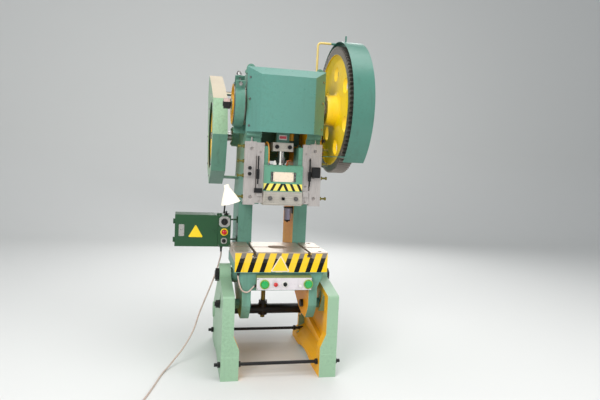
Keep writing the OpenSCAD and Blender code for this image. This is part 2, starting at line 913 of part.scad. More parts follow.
// Brake band with its lining, open at the front top where the tension rod pulls it together
band_r = drum_d / 2;
band_t = 12;
band_gap_a = 122;
band_gap_half = 36;
band_lug_l = 62;
band_lug_t = 10;

module brake_band() {
    band_x0 = -drum_out + 8;
    band_x1 = -drum_in - 8;
    color(GREEN)
        difference() {
            union() {
                along_x(band_x0, band_x1)
                    translate([slide_y, crank_z])
                        difference() {
                            union() {
                                circle(r = band_r + band_t);
                                rotate(band_gap_a)
                                    for (y = [-band_gap_half - band_lug_t, band_gap_half])
                                        translate([band_r - 8, y])
                                            square([band_lug_l + 8, band_lug_t]);
                            }
                            circle(r = band_r + 0.4);
                            rotate(band_gap_a)
                                translate([0, -band_gap_half])
                                    square([2 * band_r, 2 * band_gap_half]);
                        }
                // Anchor arm from the band back to the frame's side
                block([band_x0 + 12, slide_y + 40, crank_z - band_r - 62],
                    [-upright_out - 0.3, slide_y + 76, crank_z - band_r + 3]);
            }
            // Holes for the tension rod in the two lugs
            tension_rod_place()
                cylinder(h = 200, d = 17, center = true, $fn = 32);
        }
}

// Places children on the tension rod's axis, at the middle of the gap
module tension_rod_place() {
    r = band_r + 44;
    translate([-(drum_in + drum_out) / 2, slide_y + r * cos(band_gap_a),
        crank_z + r * sin(band_gap_a)])
        rotate([band_gap_a + 180, 0, 0])
            children();
}

// Tension rod of the brake, with its coil spring, washers and nuts
module brake_tension_rod() {
    seat = band_gap_half + band_lug_t;
    spring_l = 74;
    color(DARK_STEEL)
        tension_rod_place() {
            translate([0, 0, -seat - 22])
                cylinder(h = 2 * seat + spring_l + 48, d = 15.6, $fn = 32);
            translate([0, 0, -seat - 16.3])
                cylinder(h = 16, d = 30, $fn = 6);
            translate([0, 0, seat + 0.3])
                cylinder(h = 5, d = 40, $fn = 32);
            for (i = [0 : 6])
                translate([0, 0, seat + 10 + i * spring_l / 7.4])
                    rotate_extrude($fn = 32)
                        translate([14, 0])
                            circle(d = 8, $fn = 16);
            translate([0, 0, seat + 4])
                cylinder(h = spring_l, d = 19, $fn = 32);
            translate([0, 0, seat + spring_l])
                cylinder(h = 5, d = 40, $fn = 32);
            translate([0, 0, seat + spring_l + 5])
                cylinder(h = 16, d = 30, $fn = 6);
        }
}

// Switch box at the left end of the crankshaft, on a flat arm from the frame
arm_x = drum_out + 12;
arm_reach = drum_d / 2 + 44;
module cam_switch() {
    color(BLACK)
        union() {
            block([-arm_x - 54, slide_y - 34, crank_z - 36],
                [-arm_x - 4 + EPS, slide_y + 34, crank_z + 36]);
            rod_x(-arm_x - 60, -arm_x - 54 + EPS, 40, slide_y, crank_z, 32);
            block([-arm_x - 4, slide_y - 20, crank_z - 16],
                [-arm_x, slide_y + arm_reach, crank_z + 16]);
            block([-arm_x - 4, slide_y + arm_reach - 20, crank_z - 16],
                [-upright_out - 0.3, slide_y + arm_reach, crank_z + 16]);
        }
}

// Crank cover: folded sheet with bevelled sides and a bevelled top, open at the back and below
cover_front = slide_y - 214;
cover_back = front_cheek_y - 10.3;
cover_flat = 2 * 205;
cover_bevel = 64;
cover_flange = 16;

module cover_solid(inset) {
    intersection() {
        translate([0, 0, cover_z - 400])
            linear_extrude(height = 1200)
                polygon([
                    [-cover_flat / 2 + inset * 0.6, cover_front + inset],
                    [cover_flat / 2 - inset * 0.6, cover_front + inset],
                    [cover_w / 2 - inset, cover_back - inset * 0.4],
                    [cover_w / 2 - inset, cover_back + 100],
                    [-cover_w / 2 + inset, cover_back + 100],
                    [-cover_w / 2 + inset, cover_back - inset * 0.4]
                ]);
        along_x(-cover_w, cover_w)
            polygon([
                [cover_front - 10, cover_z - (inset > 0 ? 10 : 0)],
                [cover_front - 10, cover_z + cover_h - cover_bevel - inset * 0.5],
                [cover_front, cover_z + cover_h - cover_bevel - inset * 0.5],
                [cover_back + 6, cover_z + cover_h - inset],
                [cover_back + (inset > 0 ? 200 : 10), cover_z + cover_h - inset],
                [cover_back + (inset > 0 ? 200 : 10), cover_z - (inset > 0 ? 10 : 0)]
            ]);
    }
}

module crank_cover() {
    color(GREEN)
        difference() {
            cover_solid(0);
            cover_solid(sheet_t);
            cover_screw_places()
                rod_y(-20, 12, 9, 0, 0, 24);
        }
    // Mounting flanges behind the edges
    color(GREEN)
        difference() {
            both_sides()
                block([upright_in + 30, cover_back + 10 - sheet_t, cover_z],
                    [cover_w / 2 - EPS, cover_back + 10, cover_z + cover_h]);
        }
}

// Places children on the bevels, with -Y pointing out of the sheet
module cover_screw_places() {
    run = cover_back - cover_front;
    reach = cover_w / 2 - cover_flat / 2;
    bevel_a = atan2(run, reach);
    across = 0.77;
    for (side = [-1, 1])
        for (z = [cover_z + 44, cover_z + cover_h / 2, cover_z + cover_h - 84])
            translate([side * (cover_flat / 2 + across * reach), cover_front + across * run, z])
                rotate([0, 0, side * bevel_a])
                    children();
}

module cover_screws() {
    color(PALE_GREY)
        cover_screw_places() {
            rod_y(-1, 16, 8, 0, 0, 24);
            rod_y(-6, -0.3, 17, 0, 0, 24);
            nut_y(sheet_t + 0.5, sheet_t + 7, 13, 0, 0);
        }
}

// Bearing housings of the pinion shaft, bolted to the outsides of the uprights
housing_t = 46;
module pinion_bearings() {
    color(GREEN)
        both_sides()
            difference() {
                union() {
                    rod_x(upright_out + 10.3, upright_out + 10 + housing_t, 168, pinion_y, pinion_z);
                    rod_x(upright_in + 10, upright_out + 11, 129.9, pinion_y, pinion_z);
                    for (a = [0 : 60 : 300])
                        nut_x(upright_out + 10 + housing_t - EPS, upright_out + 18 + housing_t, 18,
                            pinion_y + 70 * cos(a), pinion_z + 70 * sin(a));
                }
                rod_x(upright_in - 20, upright_out + housing_t + 40, shaft_d + 2 * run_gap,
                    pinion_y, pinion_z);
            }
}

// Involute gear outline, with the pressure angle chosen so that the pinion is not undercut
pressure_angle = 25;
backlash = 0.8;
function involute(a) = [cos(a) + a * PI / 180 * sin(a), sin(a) - a * PI / 180 * cos(a)];
function involute_roll(base_r, r) = sqrt(max(pow(r / base_r, 2) - 1, 0)) * 180 / PI;
function polar_angle(p) = atan2(p[1], p[0]);

module gear_outline(teeth, add, ded) {
    pitch_r = gear_module * teeth / 2;
    base_r = pitch_r * cos(pressure_angle);
    tip_r = pitch_r + add * gear_module;
    root_r = pitch_r - ded * gear_module;
    half = 90 / teeth - backlash / 2 / pitch_r * 90 / PI;
    shift = half + polar_angle(involute(involute_roll(base_r, pitch_r)));
    start = max(base_r, root_r);
    first_a = shift - polar_angle(involute(involute_roll(base_r, start)));
    steps = 4;
    points = [
        for (t = [0 : teeth - 1])
            let (mid = t * 360 / teeth)
                each concat(
                    root_r < start - 0.5 ? [root_r * [cos(mid - first_a), sin(mid - first_a)]] : [],
                    [for (i = [0 : steps])
                        let (r = start + (tip_r - start) * i / steps)
                            let (a = involute_roll(base_r, r))
                                let (q = mid - shift + polar_angle(involute(a)))
                                    r * [cos(q), sin(q)]],
                    [for (i = [steps : -1 : 0])
                        let (r = start + (tip_r - start) * i / steps)
                            let (a = involute_roll(base_r, r))
                                let (q = mid + shift - polar_angle(involute(a)))
                                    r * [cos(q), sin(q)]],
                    root_r < start - 0.5 ? [root_r * [cos(mid + first_a), sin(mid + first_a)]] : []
                )
    ];
    polygon(points);
}

// Angle, in (y, z), from the crankshaft to the pinion
mesh_a = atan2(pinion_z - crank_z, pinion_back);

// Large gear: toothed rim, dished web with lightening holes, and a long hub
module large_gear() {
    root_r = gear_module * (gear_teeth / 2 - 1.2);
    rim_in = root_r - 40;
    web_r = hub_d / 2 + 8;
    color(YELLOW)
        difference() {
            union() {
                along_x(gear_x0, gear_x1)
                    translate([slide_y, crank_z])
                        rotate(mesh_a)
                            difference() {
                                gear_outline(gear_teeth, 0.9, 1.2);
                                circle(r = rim_in, $fn = 128);
                            }
                translate([gear_x0, slide_y, crank_z])
                    rotate([0, 90, 0])
                        rotate_extrude($fn = 128)
                            polygon([
                                [journal_d / 2 - 5 + run_gap, hub_x0 - gear_x0],
                                [hub_d / 2, hub_x0 - gear_x0],
                                [hub_d / 2 + 3, hub_x0 - gear_x0 + 14],
                                [web_r, 20], [web_r + 26, 30],
                                [rim_in - 34, 38], [rim_in + 6, 10],
                                [rim_in + 6, gear_w - 16], [rim_in - 30, 66],
                                [web_r + 20, 62], [web_r - 6, gear_w + 14],
                                [journal_d / 2 - 5 + run_gap, gear_w + 14]
                            ]);
            }
            for (i = [0 : 5])
                rod_x(gear_x0 - 10, gear_x1 + 10, 118,
                    slide_y + 292 * cos(60 * i + 84), crank_z + 292 * sin(60 * i + 84));
        }
}

// Pinion, cut in one piece with its shaft
module pinion_shaft() {
    color(STEEL)
        union() {
            along_x(gear_x0 - 3, gear_x1 + 3)
                translate([pinion_y, pinion_z])
                    rotate(mesh_a + 180 + 180 / pinion_teeth)
                        gear_outline(pinion_teeth, 0.9, 1.2);
            rod_x(-fly_axle_end, gear_x1 + 16, shaft_d, pinion_y, pinion_z);
            rod_x(upright_out + housing_t + 10.6, gear_x0 - 2, shaft_d + 26, pinion_y, pinion_z);
            rod_x(-fly_x1 + 6, -upright_out - housing_t - 18.6, shaft_d + 20, pinion_y, pinion_z);
        }
}

// Flywheel with belt grooves, spokes cast as a web with openings, on the left end of the shaft
groove_pitch = 19;
groove_deep = 12;
fly_w = belts * groove_pitch + 6;
fly_x0 = upright_out + 136;
fly_x1 = fly_x0;
fly_axle_end = fly_x0 + fly_w + 14;

function groove_points(r, w, n) = [
    for (i = [0 : n - 1])
        let (mid = w / 2 + (i - (n - 1) / 2) * groove_pitch)
            each [
                [r, mid - 8.2], [r - groove_deep, mid - 4.6],
                [r - groove_deep, mid + 4.6], [r, mid + 8.2]
            ]
];

module flywheel() {
    r = flywheel_d / 2;
    rim_in = r - 62;
    hub_r = shaft_d / 2 + 38;
    color(YELLOW)
        difference() {
            translate([-fly_x0, pinion_y, pinion_z])
                rotate([0, -90, 0])
                    rotate_extrude($fn = 128)
                        polygon(concat(
                            [[shaft_d / 2 + 0.02, 0], [hub_r, 0], [hub_r, 22],
                                [rim_in, 26], [rim_in + 4, 0], [r, 0]],
                            groove_points(r, fly_w, belts),
                            [[r, fly_w], [rim_in + 4, fly_w], [rim_in, 52],
                                [hub_r, 48], [hub_r - 4, fly_w + 6],
                                [shaft_d / 2 + 0.02, fly_w + 6]]
                        ));
            for (i = [0 : 5])
                rod_x(-fly_x0 - fly_w - 8, -fly_x0 + 8, 96,
                    pinion_y + 196 * cos(60 * i + 20), pinion_z + 196 * sin(60 * i + 20));
        }
}

// Motor pulley with its shaft, which runs in the motor
motor_y = slide_y + motor_back;
motor_x1 = -upright_out + 40;
module motor_pulley() {
    r = pulley_d / 2;
    color(DARK_STEEL)
        union() {
            translate([-fly_x0, motor_y, motor_z])
                rotate([0, -90, 0])
                    rotate_extrude($fn = 96)
                        polygon(concat(
                            [[0, 0], [r, 0]],
                            groove_points(r, fly_w, belts),
                            [[r, fly_w], [r - 20, fly_w], [r - 26, fly_w - 18],
                                [34, fly_w - 18], [32, fly_w + 4], [0, fly_w + 4]]
                        ));
            rod_x(-fly_x0 - EPS, motor_x1 + 60, 38, motor_y, motor_z, 48);
        }
}

// Drive belts round the two pulleys, a little proud of the grooves
belt_gap = 0.5;
belt_h = 11;
function tangent_a(r1, r2, d) = acos((r1 - r2) / d);

module belt_outline(r1, r2) {
    d = norm([motor_y - pinion_y, motor_z - pinion_z]);
    t = tangent_a(r1, r2, d);
    line_a = atan2(motor_z - pinion_z, motor_y - pinion_y);
    polygon(concat(
        arc([pinion_y, pinion_z], r1, line_a + t, line_a + 360 - t, 60),
        arc([motor_y, motor_z], r2, line_a - t, line_a + t, 24)
    ));
}

module drive_belts() {
    inner = [flywheel_d / 2 - groove_deep + belt_gap + 3, pulley_d / 2 - groove_deep + belt_gap + 3];
    color(BLACK)
        for (i = [0 : belts - 1]) {
            mid = -fly_x0 - fly_w / 2 - (i - (belts - 1) / 2) * groove_pitch;
            along_x(mid - 4.6, mid + 4.6)
                difference() {
                    belt_outline(inner[0] + belt_h - 1, inner[1] + belt_h - 1);
                    belt_outline(inner[0], inner[1]);
                }
        }
}

// Motor: finned body, end shields, fan cover, terminal box and feet
motor_foot_z = motor_z - 140;
module motor() {
    x0 = motor_x1;
    x1 = motor_x1 + motor_l;
    color(GREEN)
        difference() {
            union() {
                rod_x(x0, x1, motor_d - 30, motor_y, motor_z, 96);
                for (a = [0 : 10 : 350])
                    if (abs(a - 270) > 34 && abs(a - 90) > 22)
                        along_x(x0 + 26, x1 - 26)
                            translate([motor_y, motor_z])
                                rotate(a)
                                    translate([motor_d / 2 - 24, -1.8])
                                        square([24, 3.6]);
                // End shields and the fan cover
                rod_x(x0, x0 + 24, motor_d, motor_y, motor_z, 96);
                rod_x(x1 - 24, x1, motor_d, motor_y, motor_z, 96);
                translate([x1, motor_y, motor_z])
                    rotate([0, 90, 0])
                        rotate_extrude($fn = 96)
                            polygon([
                                [0, 0], [motor_d / 2 + 3, 0], [motor_d / 2 + 3, 66],
                                [motor_d / 2 - 16, 92], [0, 92]
                            ]);
                rod_x(x0 - 26, x0, 110, motor_y, motor_z, 64);
                // Feet
                for (x = [x0 + 40, x1 - 80])
                    block([x, motor_y - 128, motor_foot_z],
                        [x + 44, motor_y + 128, motor_foot_z + 18]);
                block([x0 + 44, motor_y - 88, motor_foot_z],
                    [x1 - 44, motor_y + 88, motor_z - 70]);
                // Terminal box
                block([x0 + 90, motor_y - 62, motor_z + 96],
                    [x0 + 210, motor_y + 62, motor_z + motor_d / 2 + 56]);
            }
            rod_x(x0 - 40, x0 + 70, 38 + 2 * run_gap + 0.1, motor_y, motor_z, 48);
            // Air slots in the fan cover
            for (a = [0 : 30 : 330])
                along_x(x1 + 80, x1 + 94)
                    translate([motor_y, motor_z])
                        rotate(a)
                            translate([34, -5])
                                square([66, 10]);
        }
}

// Motor plate: an angled bracket on the frame's back with slotted rails and tension screws
module motor_plate() {
    plate_z = motor_foot_z - 0.3;
    back = motor_y + 150;
    front = head_rear + 26.3;
    color(GREEN)
        difference() {
            union() {
                block([-upright_out + 10, front, plate_z - 22], [upright_out - 10, back, plate_z]);
                block([-upright_out + 10, front, motor_pad_z],
                    [upright_out - 10, front + 24, plate_z]);
                both_sides()
                    along_x(upright_in + 40, upright_in + 62)
                        polygon([
                            [front + 20, motor_pad_z + 6], [front + 20, plate_z - 10],
                            [back - 20, plate_z - 10], [back - 20, plate_z - 40]
                        ]);
                // Bolts through the motor's feet
                for (x = [motor_x1 + 62, motor_x1 + motor_l - 58])
                    for (y = [motor_y - 108, motor_y + 108])
                        translate([x, y, plate_z - 36])
                            cylinder(h = 14 + EPS, d = 24, $fn = 6);
            }
            block([-158, front + 90, plate_z - 30], [-10, back - 60, plate_z + 1]);
        }
}

// Hood over the flywheel and its belts, with a round opening in its outer face
guard_out = fly_axle_end + 8;
guard_in = guard_out - fly_guard_w;
function corner(c, r, a) = [c[0] + r * cos(a), c[1] + r * sin(a)];

module fly_guard_outline(inset) {
    fly = [pinion_y, pinion_z];
    pulley = [motor_y, motor_z];
    rf = fly_guard_r - inset;
    rp = pulley_d / 2 + 70 - inset;
    polygon(concat(
        [for (a = [0 : -45 : -270]) corner(fly, rf, a)],
        [for (a = [90 : -45 : 0]) corner(pulley, rp, a)]
    ));
}

module flywheel_guard() {
    color(GREEN)
        difference() {
            union() {
                difference() {
                    along_x(-guard_out, -guard_in)
                        fly_guard_outline(0);
                    along_x(-guard_out + sheet_t, -guard_in + 1)
                        fly_guard_outline(sheet_t);
                }
                // Flat brackets inside the rim, to the frame's side wall
                for (a = [112.5, -112.5])
                    along_x(-guard_in - 34, -upright_out - 0.3)
                        translate([pinion_y, pinion_z])
                            rotate(a)
                                translate([fly_guard_r * cos(22.5) - sheet_t - 7, -24])
                                    square([8, 48]);
            }
            rod_x(-guard_out - 1, -guard_out + sheet_t + 1, 2 * fly_open_r, pinion_y, pinion_z, 128);
            // Nothing stands out through the faces
            difference() {
                along_x(-guard_out - 10, -guard_in)
                    translate([pinion_y - 900, pinion_z - 900])
                        square([2200, 1900]);
                along_x(-guard_out - 11, -guard_in + 1)
                    fly_guard_outline(0);
            }
        }
}

// Hoop round the large gear, bulging over the pinion, on a bent bar and two flat brackets
hoop_x0 = gear_x0 + 12;
hoop_x1 = hoop_x0 + hoop_w;
hoop_cut = [230, 300];
bar_d = 18;

module hoop_outline(inset) {
    circle(r = hoop_r - inset, $fn = 160);
    translate([pinion_back, pinion_z - crank_z])
        circle(r = 134 - inset, $fn = 96);
}

module hoop_wedge() {
    polygon([
        [0, 0],
        2 * hoop_r * [cos(hoop_cut[0]), sin(hoop_cut[0])],
        3 * hoop_r * [cos((hoop_cut[0] + hoop_cut[1]) / 2), sin((hoop_cut[0] + hoop_cut[1]) / 2)],
        2 * hoop_r * [cos(hoop_cut[1]), sin(hoop_cut[1])]
    ]);
}

module gear_guard() {
    sheet_mid = hoop_r - sheet_t / 2;
    bar_y = slide_y + 40;
    bar_z = crank_z + sqrt(pow(sheet_mid, 2) - 1600);
    bar_x = upright_out - 24;
    bend = 28;
    low_a = hoop_cut[0] - 6;
    low = [slide_y + sheet_mid * cos(low_a), crank_z + sheet_mid * sin(low_a)];
    color(GREEN)
        union() {
            along_x(hoop_x0, hoop_x1)
                translate([slide_y, crank_z])
                    difference() {
                        hoop_outline(0);
                        hoop_outline(sheet_t);
                        hoop_wedge();
                    }
            // Lip round the outer edge
            along_x(hoop_x1 - sheet_t, hoop_x1)
                translate([slide_y, crank_z])
                    difference() {
                        hoop_outline(0);
                        hoop_outline(24);
                        hoop_wedge();
                    }
            // Bent bar from the top of the frame to the hoop
            translate([bar_x, bar_y, head_top + 0.3])
                cylinder(h = bar_z - bend - head_top - 0.3, d = bar_d);
            translate([bar_x, bar_y, head_top + 0.3])
                cylinder(h = 12, d = 44);
            translate([bar_x + bend, bar_y, bar_z - bend])
                rotate([90, 0, 0])
                    rotate([0, 0, 90])
                        rotate_extrude(angle = 90)
                            translate([bend, 0])
                                circle(d = bar_d);
            rod_x(bar_x + bend, hoop_x0 + 40, bar_d, bar_y, bar_z);
            // Stud on top of the hoop
            translate([hoop_x0 + 60, slide_y - 60, crank_z + hoop_r - 16])
                cylinder(h = 60, d = 14, $fn = 24);
            // Flat bracket from the frame's front edge to the lower end of the hoop
            block([upright_out + 0.3, gib_y + 10, low[1] - 3],
                [gear_x0 - 16, gib_y + 54, low[1] + 3]);
            block([gear_x0 - 30, low[0] - 6, low[1] - 3], [gear_x0 - 16, gib_y + 54, low[1] + 3]);
            block([gear_x0 - 30, low[0] - 6, low[1] - 3], [hoop_x0 + 16, low[0] + 10, low[1] + 3]);
            // Flat bracket from the frame's back to the hoop's rear
            block([upright_out + 0.3, pinion_y + 18, pinion_z - 131],
                [hoop_x0 + 40, pinion_y + 58, pinion_z - 121]);
        }
}

// Clutch trip: housing on the right side wall, and the lever that reaches up to the clutch
trip_y = slide_y - 24;
trip_z = 1806;
trip_pin_d = 20;

module trip_housing() {
    color(YELLOW)
        difference() {
            union() {
                block([upright_out + 0.3, trip_y - 54, trip_z - 50],
                    [upright_out + 14, trip_y + 60, trip_z + 44]);
                rod_x(upright_out + 0.3, hub_x0 - 4, 74, trip_y + 6, trip_z - 70);
                block([upright_out + 0.3, trip_y - 30, trip_z - 84],
                    [hub_x0 - 4, trip_y + 44, trip_z - 50]);
                rod_x(upright_out + 13, hub_x0 - 2, trip_pin_d, trip_y, trip_z, 48);
            }
            rod_x(upright_out + 30, hub_x0, 34, trip_y + 6, trip_z - 70, 48);
        }
}

module trip_lever() {
    lever_x0 = upright_out + 16;
    lever_x1 = hub_x0 - 8;
    top_r = journal_d / 2 + 19;
    color(DARK_STEEL)
        difference() {
            union() {
                rod_x(lever_x0, lever_x1, 46, trip_y, trip_z);
                along_x(lever_x0, lever_x1)
                    polygon([
                        [trip_y - 20, trip_z], [trip_y - 78, trip_z - 12],
                        [trip_y - 78, trip_z + 8], [trip_y - 17, trip_z + 20],
                        [slide_y - 16, crank_z - top_r], [slide_y + 12, crank_z - top_r],
                        [trip_y + 20, trip_z]
                    ]);
            }
            rod_x(lever_x0 - 1, lever_x1 + 1, trip_pin_d + 2 * run_gap, trip_y, trip_z);
        }
}

// Connecting rod, its cap, the ball screw and the clamp that locks it
rod_eye_r = 102;
clamp_low = 1712;
clamp_top = 1778;
rod_screw_top = 1960;

// The eye of the rod with its two bolt lugs, still in one piece
module rod_eye() {
    rod_x(-rod_w / 2, rod_w / 2, 2 * rod_eye_r, slide_y, crankpin_z);
    for (s = [-1, 1])
        block([-rod_w / 2 + 4, slide_y + s * (rod_eye_r - 10) - 22, crankpin_z - 46],
            [rod_w / 2 - 4, slide_y + s * (rod_eye_r - 10) + 22, crankpin_z + 46]);
}

module connecting_rod() {
    shank_top = crankpin_z - 0.86 * rod_eye_r;
    color(GREEN)
        difference() {
            union() {
                rod_eye();
                along_x(-rod_w / 2 + 2, rod_w / 2 - 2)
                    polygon([
                        [slide_y - 84, shank_top + 30], [slide_y - 58, crankpin_z - 190],
                        [slide_y - 54, clamp_top], [slide_y + 54, clamp_top],
                        [slide_y + 58, crankpin_z - 190], [slide_y + 84, shank_top + 30]
                    ]);
            }
            block([-rod_w, slide_y - 200, crankpin_z - 0.4], [rod_w, slide_y + 200, crankpin_z + 200]);
            rod_x(-rod_w, rod_w, crankpin_d + 2 * run_gap, slide_y, crankpin_z);
            translate([0, slide_y, clamp_top - 1])
                cylinder(h = rod_screw_top - clamp_top + 20, d = ball_screw_d + 2 * run_gap);
            // Pocket in the front face for a bare plate
            block([-34, slide_y - 70, clamp_top + 20], [34, slide_y - 52, clamp_top + 62]);
        }
}

module rod_cap() {
    color(GREEN)
        difference() {
            union() {
                rod_eye();
                for (x = [-26, 26])
                    for (s = [-1, 1])
                        translate([x, slide_y + s * (rod_eye_r - 10), crankpin_z + 46 - EPS])
                            cylinder(h = 16, d = 30 * 2 / sqrt(3), $fn = 6);
            }
            block([-rod_w, slide_y - 200, crankpin_z - 200], [rod_w, slide_y + 200, crankpin_z + 0.4]);
            rod_x(-rod_w, rod_w, crankpin_d + 2 * run_gap, slide_y, crankpin_z);
        }
}

module ball_screw() {
    color(STEEL)
        union() {
            translate([0, slide_y, ball_z])
                sphere(d = ball_d, $fn = 96);
            translate([0, slide_y, ball_z])
                cylinder(h = rod_screw_top - ball_z, d = ball_screw_d);
            translate([0, slide_y, ball_z + 74])
                cylinder(h = 46, d = 84, $fn = 6);
        }
}

module screw_clamp() {
    color(STEEL)
        difference() {
            union() {
                block([-80, slide_y - 76, clamp_low], [80, slide_y + 64, clamp_top - 0.2]);
                for (x = [-58, 58])
                    rod_y(slide_y - 84, slide_y - 76 + EPS, 32, x, (clamp_low + clamp_top) / 2, 32);
            }
            translate([0, slide_y, clamp_low - 1])
                cylinder(h = 80, d = ball_screw_d + 2 * run_gap);
            block([-84, slide_y - 4, clamp_low - 1], [-20, slide_y + 1, clamp_top + 1]);
            for (x = [-58, 58])
                translate([x, slide_y - 90, (clamp_low + clamp_top) / 2])
                    rotate([-90, 0, 0])
                        cylinder(h = 14, d = 18, $fn = 6);
        }
}

// Slide with its side tongues, the pocket for the ball and the slot for the knock-out bar
slide_top = slide_z + 308;
arm_top = slide_z + 447;
shank_clamp_h = 106;
pocket_floor = ball_z - ball_d / 2 - 25;
knock_slot = [slide_z + 112, slide_z + 162];
knock_h = 28;
tongue_out = upright_in - slide_gap;
clamp_stud_x = 100;
clamp_stud_z = slide_z + 54;

module slide() {
    half_w = slide_w / 2;
    half_d = slide_d / 2;
    color(GREEN)
        difference() {
            union() {
                block([-half_w, slide_y - half_d, slide_z], [half_w, slide_y + half_d, slide_top]);
                both_sides() {
                    block([118, slide_y - 106, slide_top - EPS], [half_w, slide_y + 80, arm_top]);
                    block([half_w - 10, gib_y + slide_gap, slide_z + 8],
                        [tongue_out, slide_y + 80, arm_top]);
                }
            }
            // Room for the shank clamp in front
            block([-half_w - 1, slide_y - half_d - 1, slide_z - 1],
                [half_w + 1, slide_y - 0.3, slide_z + shank_clamp_h]);
            translate([0, slide_y, slide_z - 1])
                cylinder(h = shank_l + 1, d = shank_d);
            // Pocket for the ball end
            block([-66, slide_y - 116, pocket_floor], [66, slide_y + 116, slide_top + 200]);
            block([-200, slide_y - 17, knock_slot[0]], [200, slide_y + 17, knock_slot[1]]);
            for (x = [-clamp_stud_x, clamp_stud_x])
                rod_y(slide_y - 1, slide_y + 52, 20.2, x, clamp_stud_z);
            // Dark recesses at both ends of the front plate's place
            both_sides()
                block([78, slide_y - half_d - 1, slide_z + 186],
                    [90, slide_y - half_d + 16, slide_z + 250]);
            // Edge of the front face, cut back along the top
            along_x(-half_w - 1, half_w + 1)
                polygon([
                    [slide_y - half_d - 1, slide_top - 14], [slide_y - half_d + 14, slide_top + 1],
                    [slide_y - half_d - 1, slide_top + 1]
                ]);
        }
}

module shank_clamp() {
    front = slide_y - slide_d / 2 - 12;
    color(STEEL)
        difference() {
            block([-slide_w / 2, front, slide_z], [slide_w / 2, slide_y - 1.2,
                slide_z + shank_clamp_h - 0.3]);
            translate([0, slide_y, slide_z - 1])
                cylinder(h = shank_l + 1, d = shank_d);
            for (x = [-clamp_stud_x, clamp_stud_x])
                rod_y(front - 1, slide_y, 21, x, clamp_stud_z);
            rod_y(front - 1, slide_y, 20.4, 0, clamp_stud_z);
            block([-slide_w / 2 - 1, front - 1, slide_z - 1],
                [slide_w / 2 + 1, front + 8, slide_z + 10]);
        }
}

module shank_clamp_nuts() {
    front = slide_y - slide_d / 2 - 12;
    color(STEEL) {
        for (x = [-clamp_stud_x, clamp_stud_x]) {
            rod_y(front - 24, slide_y + 50, 20, x, clamp_stud_z);
            nut_y(front - 18, front - 0.2, 32, x, clamp_stud_z);
        }
        rod_y(front - 8, slide_y - shank_d / 2 - 0.6, 20, 0, clamp_stud_z);
        block([-11, front - 24, clamp_stud_z - 11], [11, front - 8 + EPS, clamp_stud_z + 11]);
    }
}

module overload_disc() {
    color(DARK_STEEL)
        translate([0, slide_y, pocket_floor])
            cylinder(h = 11, d = 120);
}

// Bar that knocks the work out of the upper die, loose in its slot across the slide
knock_half = tongue_out - 14;
module knockout_bar() {
    color(STEEL)
        block([-knock_half, slide_y - 16.8, knock_slot[0] + 0.2],
            [knock_half, slide_y + 16.8, knock_slot[0] + knock_h]);
}

// Two-hand panel under the table, with its buttons
panel_x = 20;
panel_front = slide_y - table_front - 26;
panel_z = table_z - table_t - panel_h - 34;
button_z = panel_z + panel_h / 2 - 2;
left_x = panel_x - 150;
right_x = panel_x + 184;
stop_x = panel_x - 68;
mode_x = panel_x + 6;
mushroom_d = 58;
stem_d = 22;
button_travel = 6;

module panel_holes() {
    for (x = [left_x, right_x, stop_x, mode_x])
        rod_y(panel_front - 8, panel_front + 30, stem_d + 2 * 0.3, x, button_z);
}

module control_panel() {
    color(PALE_GREY)
        difference() {
            union() {
                along_x(panel_x - panel_w / 2, panel_x + panel_w / 2)
                    polygon([
                        [panel_front, panel_z], [slide_y - apron_front - 0.3, panel_z],
                        [slide_y - apron_front - 0.3, panel_z + panel_h + 14],
                        [panel_front + 20, panel_z + panel_h + 14],
                        [panel_front, panel_z + panel_h]
                    ]);
                // Raised rings round the buttons
                for (x = [left_x, right_x])
                    rod_y(panel_front - 4, panel_front + EPS, mushroom_d + 12, x, button_z, 64);
                rod_y(panel_front - 3, panel_front + EPS, 40, stop_x, button_z);
                rod_y(panel_front - 2, panel_front + EPS, 46, mode_x, button_z);
                // Small indicator lamp
                rod_y(panel_front - 10, panel_front + EPS, 24, panel_x + 122, button_z - 14);
            }
            for (x = [left_x, right_x])
                rod_y(panel_front - 5, panel_front + 2, mushroom_d + 2, x, button_z, 64);
            panel_holes();
            // Entry of the lead, in the left end
            rod_x(panel_x - panel_w / 2 - 1, panel_x - panel_w / 2 + 12, 15,
                slide_y - table_front + 8, panel_z + 26, 32);
        }
}

module mushroom(x, d, proud) {
    translate([x, panel_front, button_z])
        rotate([90, 0, 0]) {
            translate([0, 0, -20])
                cylinder(h = 20 + proud, d = stem_d, $fn = 48);
            translate([0, 0, proud - 4])
                rotate_extrude($fn = 64)
                    polygon([
                        [0, 0], [d / 2 - 3, 0], [d / 2, 3], [d / 2, 7], [d / 2 - 3, 10],
                        [d / 4, 13], [0, 14]
                    ]);
        }
}

module start_button_left() {
    color(SIGNAL_GREEN)
        mushroom(left_x, mushroom_d - 2, button_travel + 6);
}

module start_button_right() {
    color(SIGNAL_GREEN)
        mushroom(right_x, mushroom_d - 2, button_travel + 6);
}

module stop_button() {
    color(RED)
        mushroom(stop_x, 32, button_travel + 9);
}

module turn_knob(at) {
    translate(at)
        rotate([90, 0, 0]) {
            translate([0, 0, -18])
                cylinder(h = 19, d = stem_d, $fn = 48);
            translate([0, 0, 0.3])
                cylinder(h = 7, d = 30, $fn = 48);
            translate([-4, -14, 0.3])
                cube([8, 28, 18]);
        }
}

module mode_selector() {
    color(BLACK)
        turn_knob([mode_x, panel_front - 2, button_z]);
}

